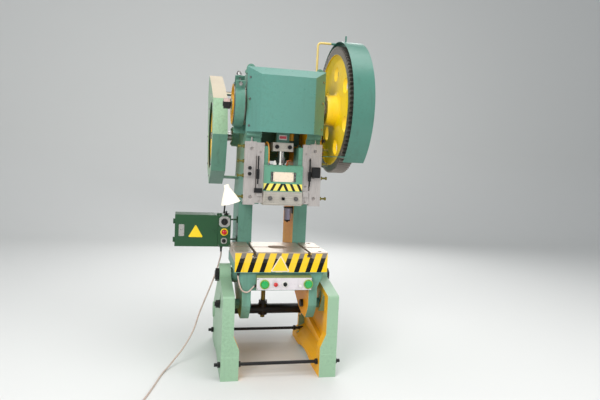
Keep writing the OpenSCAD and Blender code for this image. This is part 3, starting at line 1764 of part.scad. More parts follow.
// Electrical cabinet on the left upright, with the switch box beside it
cabinet_x1 = -upright_out - 66 - switch_box_w;
cabinet_x0 = cabinet_x1 - cabinet_w;
cabinet_z = 920;
cabinet_y = slide_y + 200;
door_t = 16;
cabinet_wall = 3;
hinge_x = cabinet_x0 - 8;
hinge_y = cabinet_y - 7;
hinge_z = [cabinet_z + 34, cabinet_z + cabinet_h - 74];
knob_x = cabinet_x1 + switch_box_w / 2;
main_z = cabinet_z + 204;
estop_z = cabinet_z + 120;
light_z = cabinet_z + 48;
gland_at = [-420, slide_y + 300];

module cabinet_box() {
    box_top = cabinet_z + cabinet_h;
    color(DARK_GREEN)
        difference() {
            union() {
                // Cabinet shell, open at the front
                difference() {
                    block([cabinet_x0, cabinet_y, cabinet_z],
                        [cabinet_x1 + EPS, cabinet_y + cabinet_d, box_top]);
                    block([cabinet_x0 + cabinet_wall, cabinet_y - 1, cabinet_z + cabinet_wall],
                        [cabinet_x1 - cabinet_wall, cabinet_y + cabinet_d - cabinet_wall,
                            box_top - cabinet_wall]);
                }
                // Switch box, its front standing level with the door
                block([cabinet_x1 + 2, cabinet_y - door_t, cabinet_z],
                    [cabinet_x1 + switch_box_w, cabinet_y + cabinet_d, box_top]);
                block([cabinet_x1, cabinet_y, cabinet_z],
                    [cabinet_x1 + 4, cabinet_y + cabinet_d, box_top]);
                // Arms to the upright
                for (z = [cabinet_z + 40, box_top - 50]) {
                    block([cabinet_x1 + switch_box_w - EPS, throat_y + 20, z],
                        [-upright_out - 0.3, throat_y + 70, z + 10]);
                    block([-upright_out - 10, throat_y + 14, z - 20],
                        [-upright_out - 0.3, throat_y + 76, z + 30]);
                }
                // Light angle on top
                block([cabinet_x1 - 8, cabinet_y + 10, box_top - EPS],
                    [knob_x - 20, cabinet_y + 13, box_top + 14]);
                // Fixed halves of the hinges, with their pins
                for (z = hinge_z) {
                    translate([hinge_x, hinge_y, z])
                        cylinder(h = 19.7, d = 12, $fn = 32);
                    translate([hinge_x, hinge_y, z])
                        cylinder(h = 38, d = 6, $fn = 32);
                    block([hinge_x - 2, hinge_y + 2, z], [cabinet_x0 + EPS, cabinet_y + 14, z + 19.7]);
                }
            }
            for (z = [main_z, estop_z, light_z])
                rod_y(cabinet_y - door_t - 1, cabinet_y - door_t + 26, stem_d + 2 * 0.3, knob_x, z);
        }
}

// Folded door, turning on the hinges at its left edge
module cabinet_door() {
    front = cabinet_y - door_t;
    color(DARK_GREEN)
        difference() {
            union() {
                difference() {
                    block([cabinet_x0 + 0.5, front, cabinet_z + 0.5],
                        [cabinet_x1 - 0.5, cabinet_y - 0.4, cabinet_z + cabinet_h - 0.5]);
                    block([cabinet_x0 + 0.5 + cabinet_wall, front + cabinet_wall,
                            cabinet_z + 0.5 + cabinet_wall],
                        [cabinet_x1 - 0.5 - cabinet_wall, cabinet_y,
                            cabinet_z + cabinet_h - 0.5 - cabinet_wall]);
                }
                for (z = hinge_z) {
                    translate([hinge_x, hinge_y, z + 20])
                        cylinder(h = 20, d = 12, $fn = 32);
                    block([hinge_x, hinge_y - 5, z + 20], [cabinet_x0 + 2, hinge_y - 1, z + 40]);
                }
                // Turn latch near the free edge
                rod_y(front - 6, front + EPS, 22, cabinet_x1 - 24, cabinet_z + cabinet_h / 2, 32);
            }
            for (z = hinge_z)
                translate([hinge_x, hinge_y, z + 19])
                    cylinder(h = 30, d = 6 + 2 * run_gap, $fn = 32);
            block([cabinet_x1 - 26, front - 7, cabinet_z + cabinet_h / 2 - 8],
                [cabinet_x1 - 22, front - 3, cabinet_z + cabinet_h / 2 + 8]);
        }
}

// Rotary main switch with its square plate
module main_switch() {
    front = cabinet_y - door_t;
    color(BLACK) {
        rod_y(front - 8, front + 20, stem_d, knob_x, main_z);
        rod_y(front - 12, front - 0.3, 52, knob_x, main_z, 64);
        block([knob_x - 6, front - 34, main_z - 24], [knob_x + 6, front - 12 + EPS, main_z + 24]);
    }
}

module emergency_button() {
    front = cabinet_y - door_t;
    color(RED)
        translate([knob_x, front, estop_z])
            rotate([90, 0, 0]) {
                translate([0, 0, -20])
                    cylinder(h = 34, d = stem_d, $fn = 48);
                translate([0, 0, 8])
                    rotate_extrude($fn = 64)
                        polygon([
                            [0, 0], [18, 0], [20, 3], [20, 8], [17, 11], [9, 14], [0, 15]
                        ]);
            }
}

module work_light_switch() {
    color(BLACK)
        turn_knob([knob_x, cabinet_y - door_t, light_z]);
}

// Work lamp: base and bent arm on the switch box, shade and bulb
lamp_base = [knob_x + 16, cabinet_y + 26, cabinet_z + cabinet_h];
lamp_knee = [-424, slide_y + 60, 1214];
lamp_tip = [-432, slide_y - 120, 1330];
lamp_reach = 96;
lamp_arm_d = 12;
shade_z = 1426;
shade_tilt = 16;
shade_h = 148;
shade_d = 142;
shade_t = 1.5;

module stretch(a, b, d) {
    v = b - a;
    l = norm(v);
    translate(a)
        rotate([0, acos(v[2] / l), atan2(v[1], v[0])])
            cylinder(h = l, d = d, $fn = 24);
}

module lamp_arm() {
    color(DARK_STEEL)
        union() {
            translate(lamp_base + [0, 0, 0.3])
                cylinder(h = 14, d = 36, $fn = 48);
            stretch(lamp_base + [0, 0, 10], lamp_base + [0, 0, 26], lamp_arm_d);
            translate(lamp_base + [0, 0, 26])
                sphere(d = lamp_arm_d + 4, $fn = 24);
            stretch(lamp_base + [0, 0, 26], lamp_knee, lamp_arm_d);
            translate(lamp_knee)
                sphere(d = lamp_arm_d + 4, $fn = 24);
            stretch(lamp_knee, lamp_tip, lamp_arm_d);
            translate(lamp_tip)
                sphere(d = lamp_arm_d + 4, $fn = 24);
            stretch(lamp_tip, [lamp_tip[0], lamp_tip[1], shade_z], lamp_arm_d);
            // Level end with the collar and the pin that the shade turns on
            rod_y(lamp_tip[1] - lamp_reach + 14, lamp_tip[1] + 8, 10, lamp_tip[0], shade_z, 32);
            rod_y(lamp_tip[1] - lamp_reach + 34.3, lamp_tip[1] - lamp_reach + 44, 22,
                lamp_tip[0], shade_z, 32);
        }
}

// Places children with Z along the shade's axis, pointing out of its mouth
module shade_place() {
    translate([lamp_tip[0], lamp_tip[1] - lamp_reach, shade_z])
        rotate([0, 180 - shade_tilt, 0])
            children();
}

module lamp_shade() {
    r = shade_d / 2;
    color(PALE_GREY)
        difference() {
            union() {
                shade_place()
                    rotate_extrude($fn = 96)
                        polygon([
                            [0, -22], [16, -22], [19, -16], [20, 6], [24, 12],
                            [r * 0.72, 66], [r, shade_h - 34], [r, shade_h - 30],
                            [r - shade_t, shade_h - 30], [r * 0.72 - shade_t, 68],
                            [23, 16], [18, 16], [18, 8], [0, 8]
                        ]);
                rod_y(lamp_tip[1] - lamp_reach + 15, lamp_tip[1] - lamp_reach + 34, 20,
                    lamp_tip[0], shade_z, 32);
            }
            rod_y(lamp_tip[1] - lamp_reach + 13, lamp_tip[1], 10 + 2 * run_gap, lamp_tip[0],
                shade_z, 32);
        }
}

module lamp_bulb() {
    color(CREAM)
        shade_place()
            rotate_extrude($fn = 64)
                polygon([
                    [0, 8.1], [13, 8.1], [13, 30], [20, 42], [27, 56], [29, 68],
                    [26, 80], [18, 90], [8, 95], [0, 96]
                ]);
}

// Points of a smooth line through the given points
function catmull(p0, p1, p2, p3, t) =
    0.5 * (2 * p1 + (p2 - p0) * t + (2 * p0 - 5 * p1 + 4 * p2 - p3) * t * t
        + (3 * p1 - p0 - 3 * p2 + p3) * t * t * t);
function smooth(p, n) = concat(
    [for (i = [0 : len(p) - 2], k = [0 : n - 1])
        catmull(p[max(i - 1, 0)], p[i], p[i + 1], p[min(i + 2, len(p) - 1)], k / n)],
    [p[len(p) - 1]]
);
function unit(v) = v / norm(v);
function tangent(p, i) = unit(p[min(i + 1, len(p) - 1)] - p[max(i - 1, 0)]);

// Tube along a list of points, with round ends
module tube_along(p, d, sides = 12) {
    rings = [for (i = [0 : len(p) - 1])
        let (t = tangent(p, i), u = unit(cross(t, [1, 0.02, 0.01])), w = cross(t, u))
        [for (k = [0 : sides - 1])
            p[i] + d / 2 * (cos(360 * k / sides) * u + sin(360 * k / sides) * w)]];
    n = len(p);
    polyhedron(
        points = [for (r = rings, q = r) q],
        faces = concat(
            [[for (k = [0 : sides - 1]) k]],
            [[for (k = [sides - 1 : -1 : 0]) (n - 1) * sides + k]],
            [for (i = [0 : n - 2], k = [0 : sides - 1])
                [i * sides + k, (i + 1) * sides + k,
                    (i + 1) * sides + (k + 1) % sides, i * sides + (k + 1) % sides]]
        )
    );
}

// Lead to the two-hand panel, hanging from the table
lead_end = [panel_x - panel_w / 2 + 6, slide_y - table_front + 8, panel_z + 26];
lead_root = [-326, slide_y - table_front + 14, table_z - table_t];

module panel_lead() {
    color(PALE_GREY)
        tube_along(smooth([
            lead_root + [0, 0, -0.3],
            lead_root + [0, 0, -40],
            lead_root + [26, -4, -128],
            [-252, lead_end[1], panel_z - 22],
            lead_end + [-20, 0, -4],
            lead_end
        ], 6), 11, 10);
}

// Supply: gland under the switch box, cable to the floor, the rest in a coil beside the plug
coil_at = [-1130, slide_y - 790];
coil_r = 66;
coil_turns = 4;
plug_at = [-1010, slide_y - 800];

module cable_gland() {
    color(BLACK)
        difference() {
            union() {
                translate([gland_at[0], gland_at[1], cabinet_z - 8.3])
                    cylinder(h = 8, d = 30, $fn = 6);
                translate([gland_at[0], gland_at[1], cabinet_z - 24])
                    cylinder(h = 16, d = 24, $fn = 48);
            }
            translate([gland_at[0], gland_at[1], cabinet_z - 30])
                cylinder(h = 28, d = cable_d + 0.4, $fn = 48);
        }
}

beside_r = coil_r + cable_d + 0.2;
function round_coil(a, r) =
    [coil_at[0] + r * cos(a), coil_at[1] + r * sin(a), cable_d / 2];

module supply_cable() {
    floor_z = cable_d / 2;
    color(PALE_GREY)
        tube_along(smooth([
            [gland_at[0], gland_at[1], cabinet_z - 4],
            [gland_at[0], gland_at[1], cabinet_z - 32],
            [gland_at[0] - 4, gland_at[1] - 6, cabinet_z - 110],
            [-480, slide_y + 250, 632],
            [-578, slide_y + 180, 398],
            [-631, slide_y + 150, 240],
            [-700, slide_y + 100, 126],
            [-768, slide_y + 36, 56],
            [-812, slide_y - 30, 22],
            [-850, slide_y - 110, 9],
            [-880, slide_y - 220, floor_z],
            [-908, slide_y - 344, floor_z],
            [-950, slide_y - 510, floor_z],
            [-978, slide_y - 596, floor_z],
            [-1030, slide_y - 664, floor_z],
            round_coil(90, 104),
            round_coil(112.5, 94),
            round_coil(135, 86.8),
            round_coil(157.5, 81.8),
            round_coil(180, beside_r)
        ], 6), cable_d, 10);
}

module cable_coil() {
    color(PALE_GREY)
        translate([coil_at[0], coil_at[1], 0])
            for (i = [0 : coil_turns - 1])
                translate([0, 0, cable_d / 2 + i * (cable_d - 1)])
                    rotate_extrude($fn = 64)
                        translate([coil_r - (i % 2), 0])
                            circle(d = cable_d, $fn = 12);
}

module cable_plug() {
    color(BLACK)
        translate([plug_at[0], plug_at[1], 27])
            rotate([0, 0, 70])
                rotate([0, 90, 0])
                    union() {
                        cylinder(h = 46, d = 24, $fn = 48);
                        translate([0, 0, 44])
                            cylinder(h = 62, d = 46, $fn = 64);
                        translate([0, 0, 104])
                            cylinder(h = 8, d = 54, $fn = 64);
                        difference() {
                            translate([0, 0, 110])
                                cylinder(h = 30, d = 48, $fn = 64);
                            translate([0, 0, 112])
                                cylinder(h = 40, d = 42, $fn = 64);
                        }
                        for (a = [0 : 72 : 288])
                            rotate([0, 0, a])
                                translate([13, 0, 108])
                                    cylinder(h = 26, d = 6, $fn = 24);
                    }
    color(PALE_GREY)
        tube_along(smooth([
            [coil_at[0], coil_at[1] - beside_r + 1.3, 39],
            [plug_at[0] - 94, plug_at[1] - 68.2, 40],
            [plug_at[0] - 63.9, plug_at[1] - 63.4, 37],
            [plug_at[0] - 36.6, plug_at[1] - 49.9, 32],
            [plug_at[0] - 14.7, plug_at[1] - 28.9, 28],
            [plug_at[0] + 1, plug_at[1] + 3, 27]
        ], 6), cable_d, 10);
}

left_leg();
right_leg();
tie_rods();
trunnion_pins();
tilt_cross_tube();
tilt_screw();
frame_casting();
tilt_clamp_bolts();
bolster_plate();
bolster_bolts();
left_gib();
right_gib();
gib_screws();
crank_bushes();
crank_cover();
cover_screws();
pinion_bearings();
flywheel_guard();
gear_guard();
brake_band();
brake_tension_rod();
cam_switch();
motor();
motor_plate();
drive_belts();
trip_housing();
trip_lever();
crankshaft();
brake_drum();
large_gear();
pinion_shaft();
flywheel();
motor_pulley();
connecting_rod();
rod_cap();
ball_screw();
screw_clamp();
slide();
shank_clamp();
shank_clamp_nuts();
overload_disc();
knockout_bar();
control_panel();
start_button_left();
start_button_right();
stop_button();
mode_selector();
panel_lead();
cabinet_box();
cabinet_door();
main_switch();
emergency_button();
work_light_switch();
lamp_arm();
lamp_shade();
lamp_bulb();
cable_gland();
supply_cable();
cable_coil();
cable_plug();
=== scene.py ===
"""Finishes and small parts of an open-back inclinable crank press, laid over its fixed frame."""

import json
import logging
import math
from contextlib import contextmanager
from dataclasses import dataclass
from enum import Enum
from typing import Iterator, Sequence

import bmesh
import bpy
from mathutils import Matrix, Vector

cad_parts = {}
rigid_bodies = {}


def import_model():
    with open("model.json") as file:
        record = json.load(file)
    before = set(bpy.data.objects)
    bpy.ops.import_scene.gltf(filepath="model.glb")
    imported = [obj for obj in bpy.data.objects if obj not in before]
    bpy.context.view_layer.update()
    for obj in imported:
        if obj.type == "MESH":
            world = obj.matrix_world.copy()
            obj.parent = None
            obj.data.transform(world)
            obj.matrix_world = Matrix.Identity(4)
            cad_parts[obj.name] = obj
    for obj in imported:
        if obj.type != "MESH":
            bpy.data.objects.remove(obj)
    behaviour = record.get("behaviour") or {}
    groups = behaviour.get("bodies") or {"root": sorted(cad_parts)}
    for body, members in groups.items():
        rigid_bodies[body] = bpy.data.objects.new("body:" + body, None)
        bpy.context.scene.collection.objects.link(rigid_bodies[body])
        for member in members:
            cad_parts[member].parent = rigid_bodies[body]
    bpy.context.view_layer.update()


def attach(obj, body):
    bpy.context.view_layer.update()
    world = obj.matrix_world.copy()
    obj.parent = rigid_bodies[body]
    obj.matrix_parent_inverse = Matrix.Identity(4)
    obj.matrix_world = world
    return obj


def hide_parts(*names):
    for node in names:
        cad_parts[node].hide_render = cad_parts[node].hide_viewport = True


log = logging.getLogger("press")

Colour = tuple[float, float, float]
Point = tuple[float, float, float]
Profile = Sequence[tuple[float, float]]
Surface = tuple[object, object, object]
Node = bpy.types.Node
Socket = bpy.types.NodeSocket
Mesh = bmesh.types.BMesh

PHOTO_WIDTH = 600  # pixels
SENSOR_MM = 36.0

UP: Point = (0.0, 0.0, 1.0)
FORWARD: Point = (0.0, -1.0, 0.0)
LEFT: Point = (-1.0, 0.0, 0.0)
RIGHT: Point = (1.0, 0.0, 0.0)

CRANK_AXIS: Point = (0.0, -0.185, 2.055)
PINION_AXIS: Point = (0.0, 0.327, 1.8257)
LEDGES_WITHIN = (0.405, 0.44)  # reach in x and y of the low ledges that are painted inside
SKIN_DEPTH = 0.0012
GRAIN_WEIGHT = 0.6
CORNER_STEPS = 5


class Lay(Enum):
    """How a cable or lead lies."""

    COILED = "coiled"
    HANGING = "hanging"


class Kind(Enum):
    """What a node group's socket carries."""

    VECTOR = "NodeSocketVector"
    COLOUR = "NodeSocketColor"
    NUMBER = "NodeSocketFloat"
    COUNT = "NodeSocketInt"
    SHAPE = "NodeSocketGeometry"
    FINISH = "NodeSocketMaterial"


class HeadShape(Enum):
    """Number of sides of a screw's head."""

    ROUND = 20
    HEXAGON = 6


def linear(colour: Colour) -> tuple[float, float, float, float]:
    """Turns a colour as seen on a screen into the shader's linear values.

    Args:
        colour: Red, green and blue from 0 to 1 as displayed.

    Returns:
        Linear red, green, blue and an alpha of 1.
    """
    values = [c / 12.92 if c <= 0.04045 else ((c + 0.055) / 1.055) ** 2.4 for c in colour]
    return (values[0], values[1], values[2], 1.0)


def linked(name: str, data: bpy.types.ID) -> bpy.types.Object:
    """Makes an object and links it to the scene.

    Args:
        name: Its name.
        data: Its mesh, camera or lamp.

    Returns:
        The new object.
    """
    made = bpy.data.objects.new(name, data)
    bpy.context.scene.collection.objects.link(made)
    return made


def mesh_data(name: str, mesh: Mesh) -> bpy.types.Mesh:
    """Keeps a mesh in the making as mesh data.

    Args:
        name: Name of the data.
        mesh: The mesh, freed here.

    Returns:
        The mesh data.
    """
    data = bpy.data.meshes.new(name)
    mesh.to_mesh(data)
    mesh.free()
    return data


def turn_to(direction: Point) -> Matrix:
    """Gives the turn that takes +Z to a direction.

    Args:
        direction: The wanted direction.

    Returns:
        The rotation matrix.
    """
    return Vector(direction).normalized().to_track_quat("Z", "Y").to_matrix().to_4x4()


def placed(place: Point, direction: Point) -> Matrix:
    """Gives the move that takes the origin to a place and +Z to a direction.

    Args:
        place: The wanted place.
        direction: The wanted direction.

    Returns:
        The matrix.
    """
    return Matrix.Translation(Vector(place)) @ turn_to(direction)


def round_steps(count: int) -> list[tuple[float, float]]:
    """Steps once round a circle of radius 1.

    Args:
        count: Number of steps.

    Returns:
        Cosine and sine of each step's angle.
    """
    return [(math.cos(math.tau * k / count), math.sin(math.tau * k / count))
            for k in range(count)]


# Shader node groups


class Graph:
    """A thin wrapper round a node tree that makes building it short."""

    def __init__(self, tree: bpy.types.NodeTree) -> None:
        """Keeps the tree.

        Args:
            tree: The node tree to add to.
        """
        self.tree = tree

    def add(self, kind: str, **settings: object) -> Node:
        """Adds a node and sets its plain properties.

        Args:
            kind: The node's type name.
            settings: Property names and values.

        Returns:
            The new node.
        """
        node = self.tree.nodes.new(kind)
        for name, value in settings.items():
            setattr(node, name, value)
        return node

    def feed(self, socket: Socket, value: object) -> None:
        """Links a socket to another, or sets it to a plain value.

        Args:
            socket: The input to feed.
            value: An output socket, or a value.
        """
        if isinstance(value, Socket):
            self.tree.links.new(value, socket)
        else:
            socket.default_value = value

    def math(self, operation: str, first: object, second: object = 0.0,
             third: object = 0.0, clamp: bool = False) -> Socket:
        """Adds one step of arithmetic.

        Args:
            operation: Name of the operation.
            first: First value or socket.
            second: Second value or socket.
            third: Third value or socket.
            clamp: Whether the result is held between 0 and 1.

        Returns:
            The result's socket.
        """
        node = self.add("ShaderNodeMath", operation=operation, use_clamp=clamp)
        for socket, value in zip(node.inputs, (first, second, third)):
            self.feed(socket, value)
        return node.outputs[0]

    def mix(self, factor: object, first: object, second: object) -> Socket:
        """Mixes two colours.

        Args:
            factor: Share of the second colour.
            first: First colour or socket.
            second: Second colour or socket.

        Returns:
            The mixed colour's socket.
        """
        return self.mixed("RGBA", (0, 6, 7), 2, (factor, first, second))

    def mix_value(self, factor: object, first: object, second: object) -> Socket:
        """Mixes two numbers.

        Args:
            factor: Share of the second number.
            first: First number or socket.
            second: Second number or socket.

        Returns:
            The mixed number's socket.
        """
        return self.mixed("FLOAT", (0, 2, 3), 0, (factor, first, second))

    def mixed(self, kind: str, sockets: Sequence[int], result: int,
              values: Sequence[object]) -> Socket:
        """Adds a mix node, whose sockets of one kind go by number.

        Args:
            kind: What it mixes.
            sockets: Numbers of the sockets of the factor and of the two values.
            result: Number of the result's socket.
            values: The factor and the two values.

        Returns:
            The result's socket.
        """
        node = self.add("ShaderNodeMix", data_type=kind)
        for index, value in zip(sockets, values):
            self.feed(node.inputs[index], value)
        return node.outputs[result]

    def span(self, value: object, low: float, high: float, to_low: float = 0.0,
             to_high: float = 1.0) -> Socket:
        """Maps a stretch of values to another, held at its ends.

        Args:
            value: The value or socket.
            low: Lower end of the stretch.
            high: Upper end of the stretch.
            to_low: Result at the lower end.
            to_high: Result at the upper end.

        Returns:
            The result's socket.
        """
        node = self.add("ShaderNodeMapRange")
        for index, number in enumerate((value, low, high, to_low, to_high)):
            self.feed(node.inputs[index], number)
        return node.outputs[0]

    def noise(self, vector: object, scale: object, detail: float = 4.0,
              roughness: float = 0.55) -> Socket:
        """Adds a noise texture.

        Args:
            vector: The coordinates.
            scale: Size of the pattern, in waves a metre.
            detail: Number of finer layers.
            roughness: Weight of the finer layers.

        Returns:
            The noise value's socket.
        """
        node = self.add("ShaderNodeTexNoise")
        self.feed(node.inputs["Vector"], vector)
        self.feed(node.inputs["Scale"], scale)
        self.feed(node.inputs["Detail"], detail)
        self.feed(node.inputs["Roughness"], roughness)
        return node.outputs[0]

    def normal(self) -> list[Socket]:
        """Reads the way that the surface faces.

        Returns:
            The sockets of the normal's x, y and z, in the object's own directions.
        """
        return self.split(self.add("ShaderNodeTexCoord").outputs["Normal"])

    def split(self, vector: object) -> list[Socket]:
        """Splits a vector into its three numbers.

        Args:
            vector: The vector's socket.

        Returns:
            The sockets of x, y and z.
        """
        node = self.add("ShaderNodeSeparateXYZ")
        self.feed(node.inputs[0], vector)
        return list(node.outputs)


def open_socket(tree: bpy.types.NodeTree, title: str, kind: Kind,
                side: str = "INPUT") -> bpy.types.NodeTreeInterfaceSocket:
    """Gives a node group one more socket.

    Args:
        tree: The group's tree.
        title: Name of the socket.
        kind: What it carries.
        side: Whether it is an input or an output.

    Returns:
        The new socket.
    """
    return tree.interface.new_socket(title, in_out=side, socket_type=kind.value)


class EffectGroup:
    """A shader node group that several finishes share."""

    name: str = "effect"
    inputs: Sequence[tuple[str, Kind, object]] = ()
    outputs: Sequence[tuple[str, Kind]] = ()

    def __init__(self) -> None:
        """Builds the group's sockets and its nodes."""
        self.tree = bpy.data.node_groups.new(self.name, "ShaderNodeTree")
        for title, kind, default in self.inputs:
            open_socket(self.tree, title, kind).default_value = default
        for title, kind in self.outputs:
            open_socket(self.tree, title, kind, "OUTPUT")
        graph = Graph(self.tree)
        self.build(graph, graph.add("NodeGroupInput"), graph.add("NodeGroupOutput"))

    def build(self, graph: Graph, ins: Node, outs: Node) -> None:
        """Builds the nodes between the group's inputs and outputs.

        Args:
            graph: The group's tree.
            ins: The group's input node.
            outs: The group's output node.
        """
        raise NotImplementedError

    def place(self, graph: Graph, **values: object) -> Node:
        """Places the group in a material.

        Args:
            graph: The material's tree.
            values: Input names, with underscores for spaces, and their values.

        Returns:
            The group's node.
        """
        node = graph.add("ShaderNodeGroup", node_tree=self.tree)
        for title, value in values.items():
            graph.feed(node.inputs[title.replace("_", " ")], value)
        return node


class UseAndDirt(EffectGroup):
    """Mottled colour, shop dust on upward faces, and oily smears."""

    name = "use_and_dirt"
    inputs = (
        ("Vector", Kind.VECTOR, (0.0, 0.0, 0.0)),
        ("Colour", Kind.COLOUR, (0.5, 0.5, 0.5, 1.0)),
        ("Dirt Colour", Kind.COLOUR, (0.1, 0.08, 0.06, 1.0)),
        ("Mottle", Kind.NUMBER, 0.15),
        ("Dirt", Kind.NUMBER, 0.3),
        ("Roughness", Kind.NUMBER, 0.4),
    )
    outputs = (("Colour", Kind.COLOUR), ("Roughness", Kind.NUMBER), ("Height", Kind.NUMBER))
    broad_waves = 3.1
    fine_waves = 46.0
    run_waves = (26.0, 26.0, 2.2)
    shade_span = (0.3, 0.7)
    patch_span = (0.25, 0.42)
    run_span = (0.56, 0.78)
    upward_span = (0.55, 0.95)
    upward_share = 0.7
    gloss_change = 0.3

    def build(self, graph: Graph, ins: Node, outs: Node) -> None:
        """Builds the dirt. See the base class for the arguments."""
        vector = ins.outputs["Vector"]
        broad = graph.noise(vector, self.broad_waves, 5.0, 0.6)
        fine = graph.noise(vector, self.fine_waves, 6.0, 0.65)
        shade = graph.math("MULTIPLY", graph.span(broad, *self.shade_span, -1.0, 1.0),
                           ins.outputs["Mottle"])
        mottled = graph.add("ShaderNodeHueSaturation")
        graph.feed(mottled.inputs["Value"], graph.math("ADD", 1.0, shade))
        graph.feed(mottled.inputs["Saturation"],
                   graph.math("MULTIPLY_ADD", shade, 0.5, 1.0))
        graph.feed(mottled.inputs["Color"], ins.outputs["Colour"])
        patches = graph.span(graph.math("MULTIPLY", broad, fine), *self.patch_span)
        runs = graph.add("ShaderNodeMapping")
        runs.inputs["Scale"].default_value = self.run_waves
        graph.feed(runs.inputs["Vector"], vector)
        streaks = graph.span(graph.noise(runs.outputs[0], 1.0), *self.run_span)
        upward = graph.span(graph.normal()[2], *self.upward_span)
        amount = graph.math("MAXIMUM", graph.math("MAXIMUM", patches, streaks),
                            graph.math("MULTIPLY", upward, self.upward_share))
        mask = graph.math("MULTIPLY", amount, ins.outputs["Dirt"], clamp=True)
        graph.feed(outs.inputs["Colour"],
                   graph.mix(mask, mottled.outputs[0], ins.outputs["Dirt Colour"]))
        graph.feed(outs.inputs["Roughness"],
                   graph.math("MULTIPLY_ADD", graph.math("SUBTRACT", fine, 0.5),
                              self.gloss_change, ins.outputs["Roughness"], clamp=True))
        graph.feed(outs.inputs["Height"], fine)


class InwardFaces(EffectGroup):
    """Mask of the faces that look to the centre plane, and of low ones that look up."""

    name = "inward_faces"
    inputs = (("Vector", Kind.VECTOR, (0.0, 0.0, 0.0)), ("Low", Kind.NUMBER, -1.0))
    outputs = (("Mask", Kind.NUMBER),)
    inward_span = (0.45, 0.6)
    ledge_span = (0.2, 0.3)

    def build(self, graph: Graph, ins: Node, outs: Node) -> None:
        """Builds the mask. See the base class for the arguments."""
        x, y, z = graph.split(ins.outputs["Vector"])
        normal = graph.normal()
        toward = graph.math("MULTIPLY",
                            graph.math("MULTIPLY", normal[0], graph.math("SIGN", x)), -1.0)
        ledges = graph.span(normal[2], *self.ledge_span)
        for value, bound in ((z, ins.outputs["Low"]),
                             (graph.math("ABSOLUTE", x), LEDGES_WITHIN[0]),
                             (graph.math("ABSOLUTE", y), LEDGES_WITHIN[1])):
            ledges = graph.math("MULTIPLY", ledges, graph.math("LESS_THAN", value, bound))
        graph.feed(outs.inputs["Mask"],
                   graph.math("MAXIMUM", graph.span(toward, *self.inward_span), ledges))


class HazardStripes(EffectGroup):
    """Slanting stripes of two colours on a front face, mirrored about a plane if wanted, with a
    painted glare that greys the dark stripes above a height.
    """

    name = "hazard_stripes"
    inputs = (
        ("Vector", Kind.VECTOR, (0.0, 0.0, 0.0)),
        ("Pitch", Kind.NUMBER, 0.06),
        ("Slant", Kind.NUMBER, 0.4),
        ("Shift", Kind.NUMBER, 0.0),
        ("Mirrored", Kind.NUMBER, 0.0),
        ("Low", Kind.NUMBER, 0.0),
        ("High", Kind.NUMBER, 1.0),
        ("Half Width", Kind.NUMBER, 1.0),
        ("Front", Kind.NUMBER, 0.0),
        ("Dark Share", Kind.NUMBER, 0.5),
        ("Worn From", Kind.NUMBER, 9.0),
    )
    outputs = (("Stripe", Kind.NUMBER), ("Area", Kind.NUMBER), ("Worn", Kind.NUMBER))
    facing_below = -0.6
    whole_turns = 64.0
    # Noise that rags the edge of the painted glare.
    glare_edge_waves = 38.0
    glare_edge_reach = 0.05

    def build(self, graph: Graph, ins: Node, outs: Node) -> None:
        """Builds the stripes. See the base class for the arguments."""
        given = ins.outputs
        x, y, z = graph.split(given["Vector"])
        folded = graph.mix_value(given["Mirrored"], x, graph.math("ABSOLUTE", x))
        along = graph.math("SUBTRACT", folded, graph.math("MULTIPLY", z, given["Slant"]))
        turns = graph.math("DIVIDE", graph.math("ADD", along, given["Shift"]), given["Pitch"])
        part = graph.math("FRACT", graph.math("ADD", turns, self.whole_turns))
        light = graph.math("SUBTRACT", 1.0, given["Dark Share"])
        graph.feed(outs.inputs["Stripe"], graph.math("GREATER_THAN", part, light))
        area = graph.math("LESS_THAN", graph.normal()[1], self.facing_below)
        for test, value, bound in (("LESS_THAN", y, given["Front"]),
                                   ("GREATER_THAN", z, given["Low"]),
                                   ("LESS_THAN", z, given["High"]),
                                   ("LESS_THAN", graph.math("ABSOLUTE", x),
                                    given["Half Width"])):
            area = graph.math("MULTIPLY", area, graph.math(test, value, bound))
        graph.feed(outs.inputs["Area"], area)
        # Painted glare: above the given height the dark stripes turn grey, along a ragged edge.
        glare_edge_noise = graph.noise(given["Vector"], self.glare_edge_waves, 5.0, 0.7)
        edge = graph.math("MULTIPLY_ADD", graph.math("SUBTRACT", glare_edge_noise, 0.5),
                          self.glare_edge_reach, z)
        graph.feed(outs.inputs["Worn"], graph.math("GREATER_THAN", edge, given["Worn From"]))


class Effects:
    """The shared node groups, built once."""

    def __init__(self) -> None:
        """Builds every group."""
        self.dirt = UseAndDirt()
        self.inward = InwardFaces()
        self.stripes = HazardStripes()


# Finishes


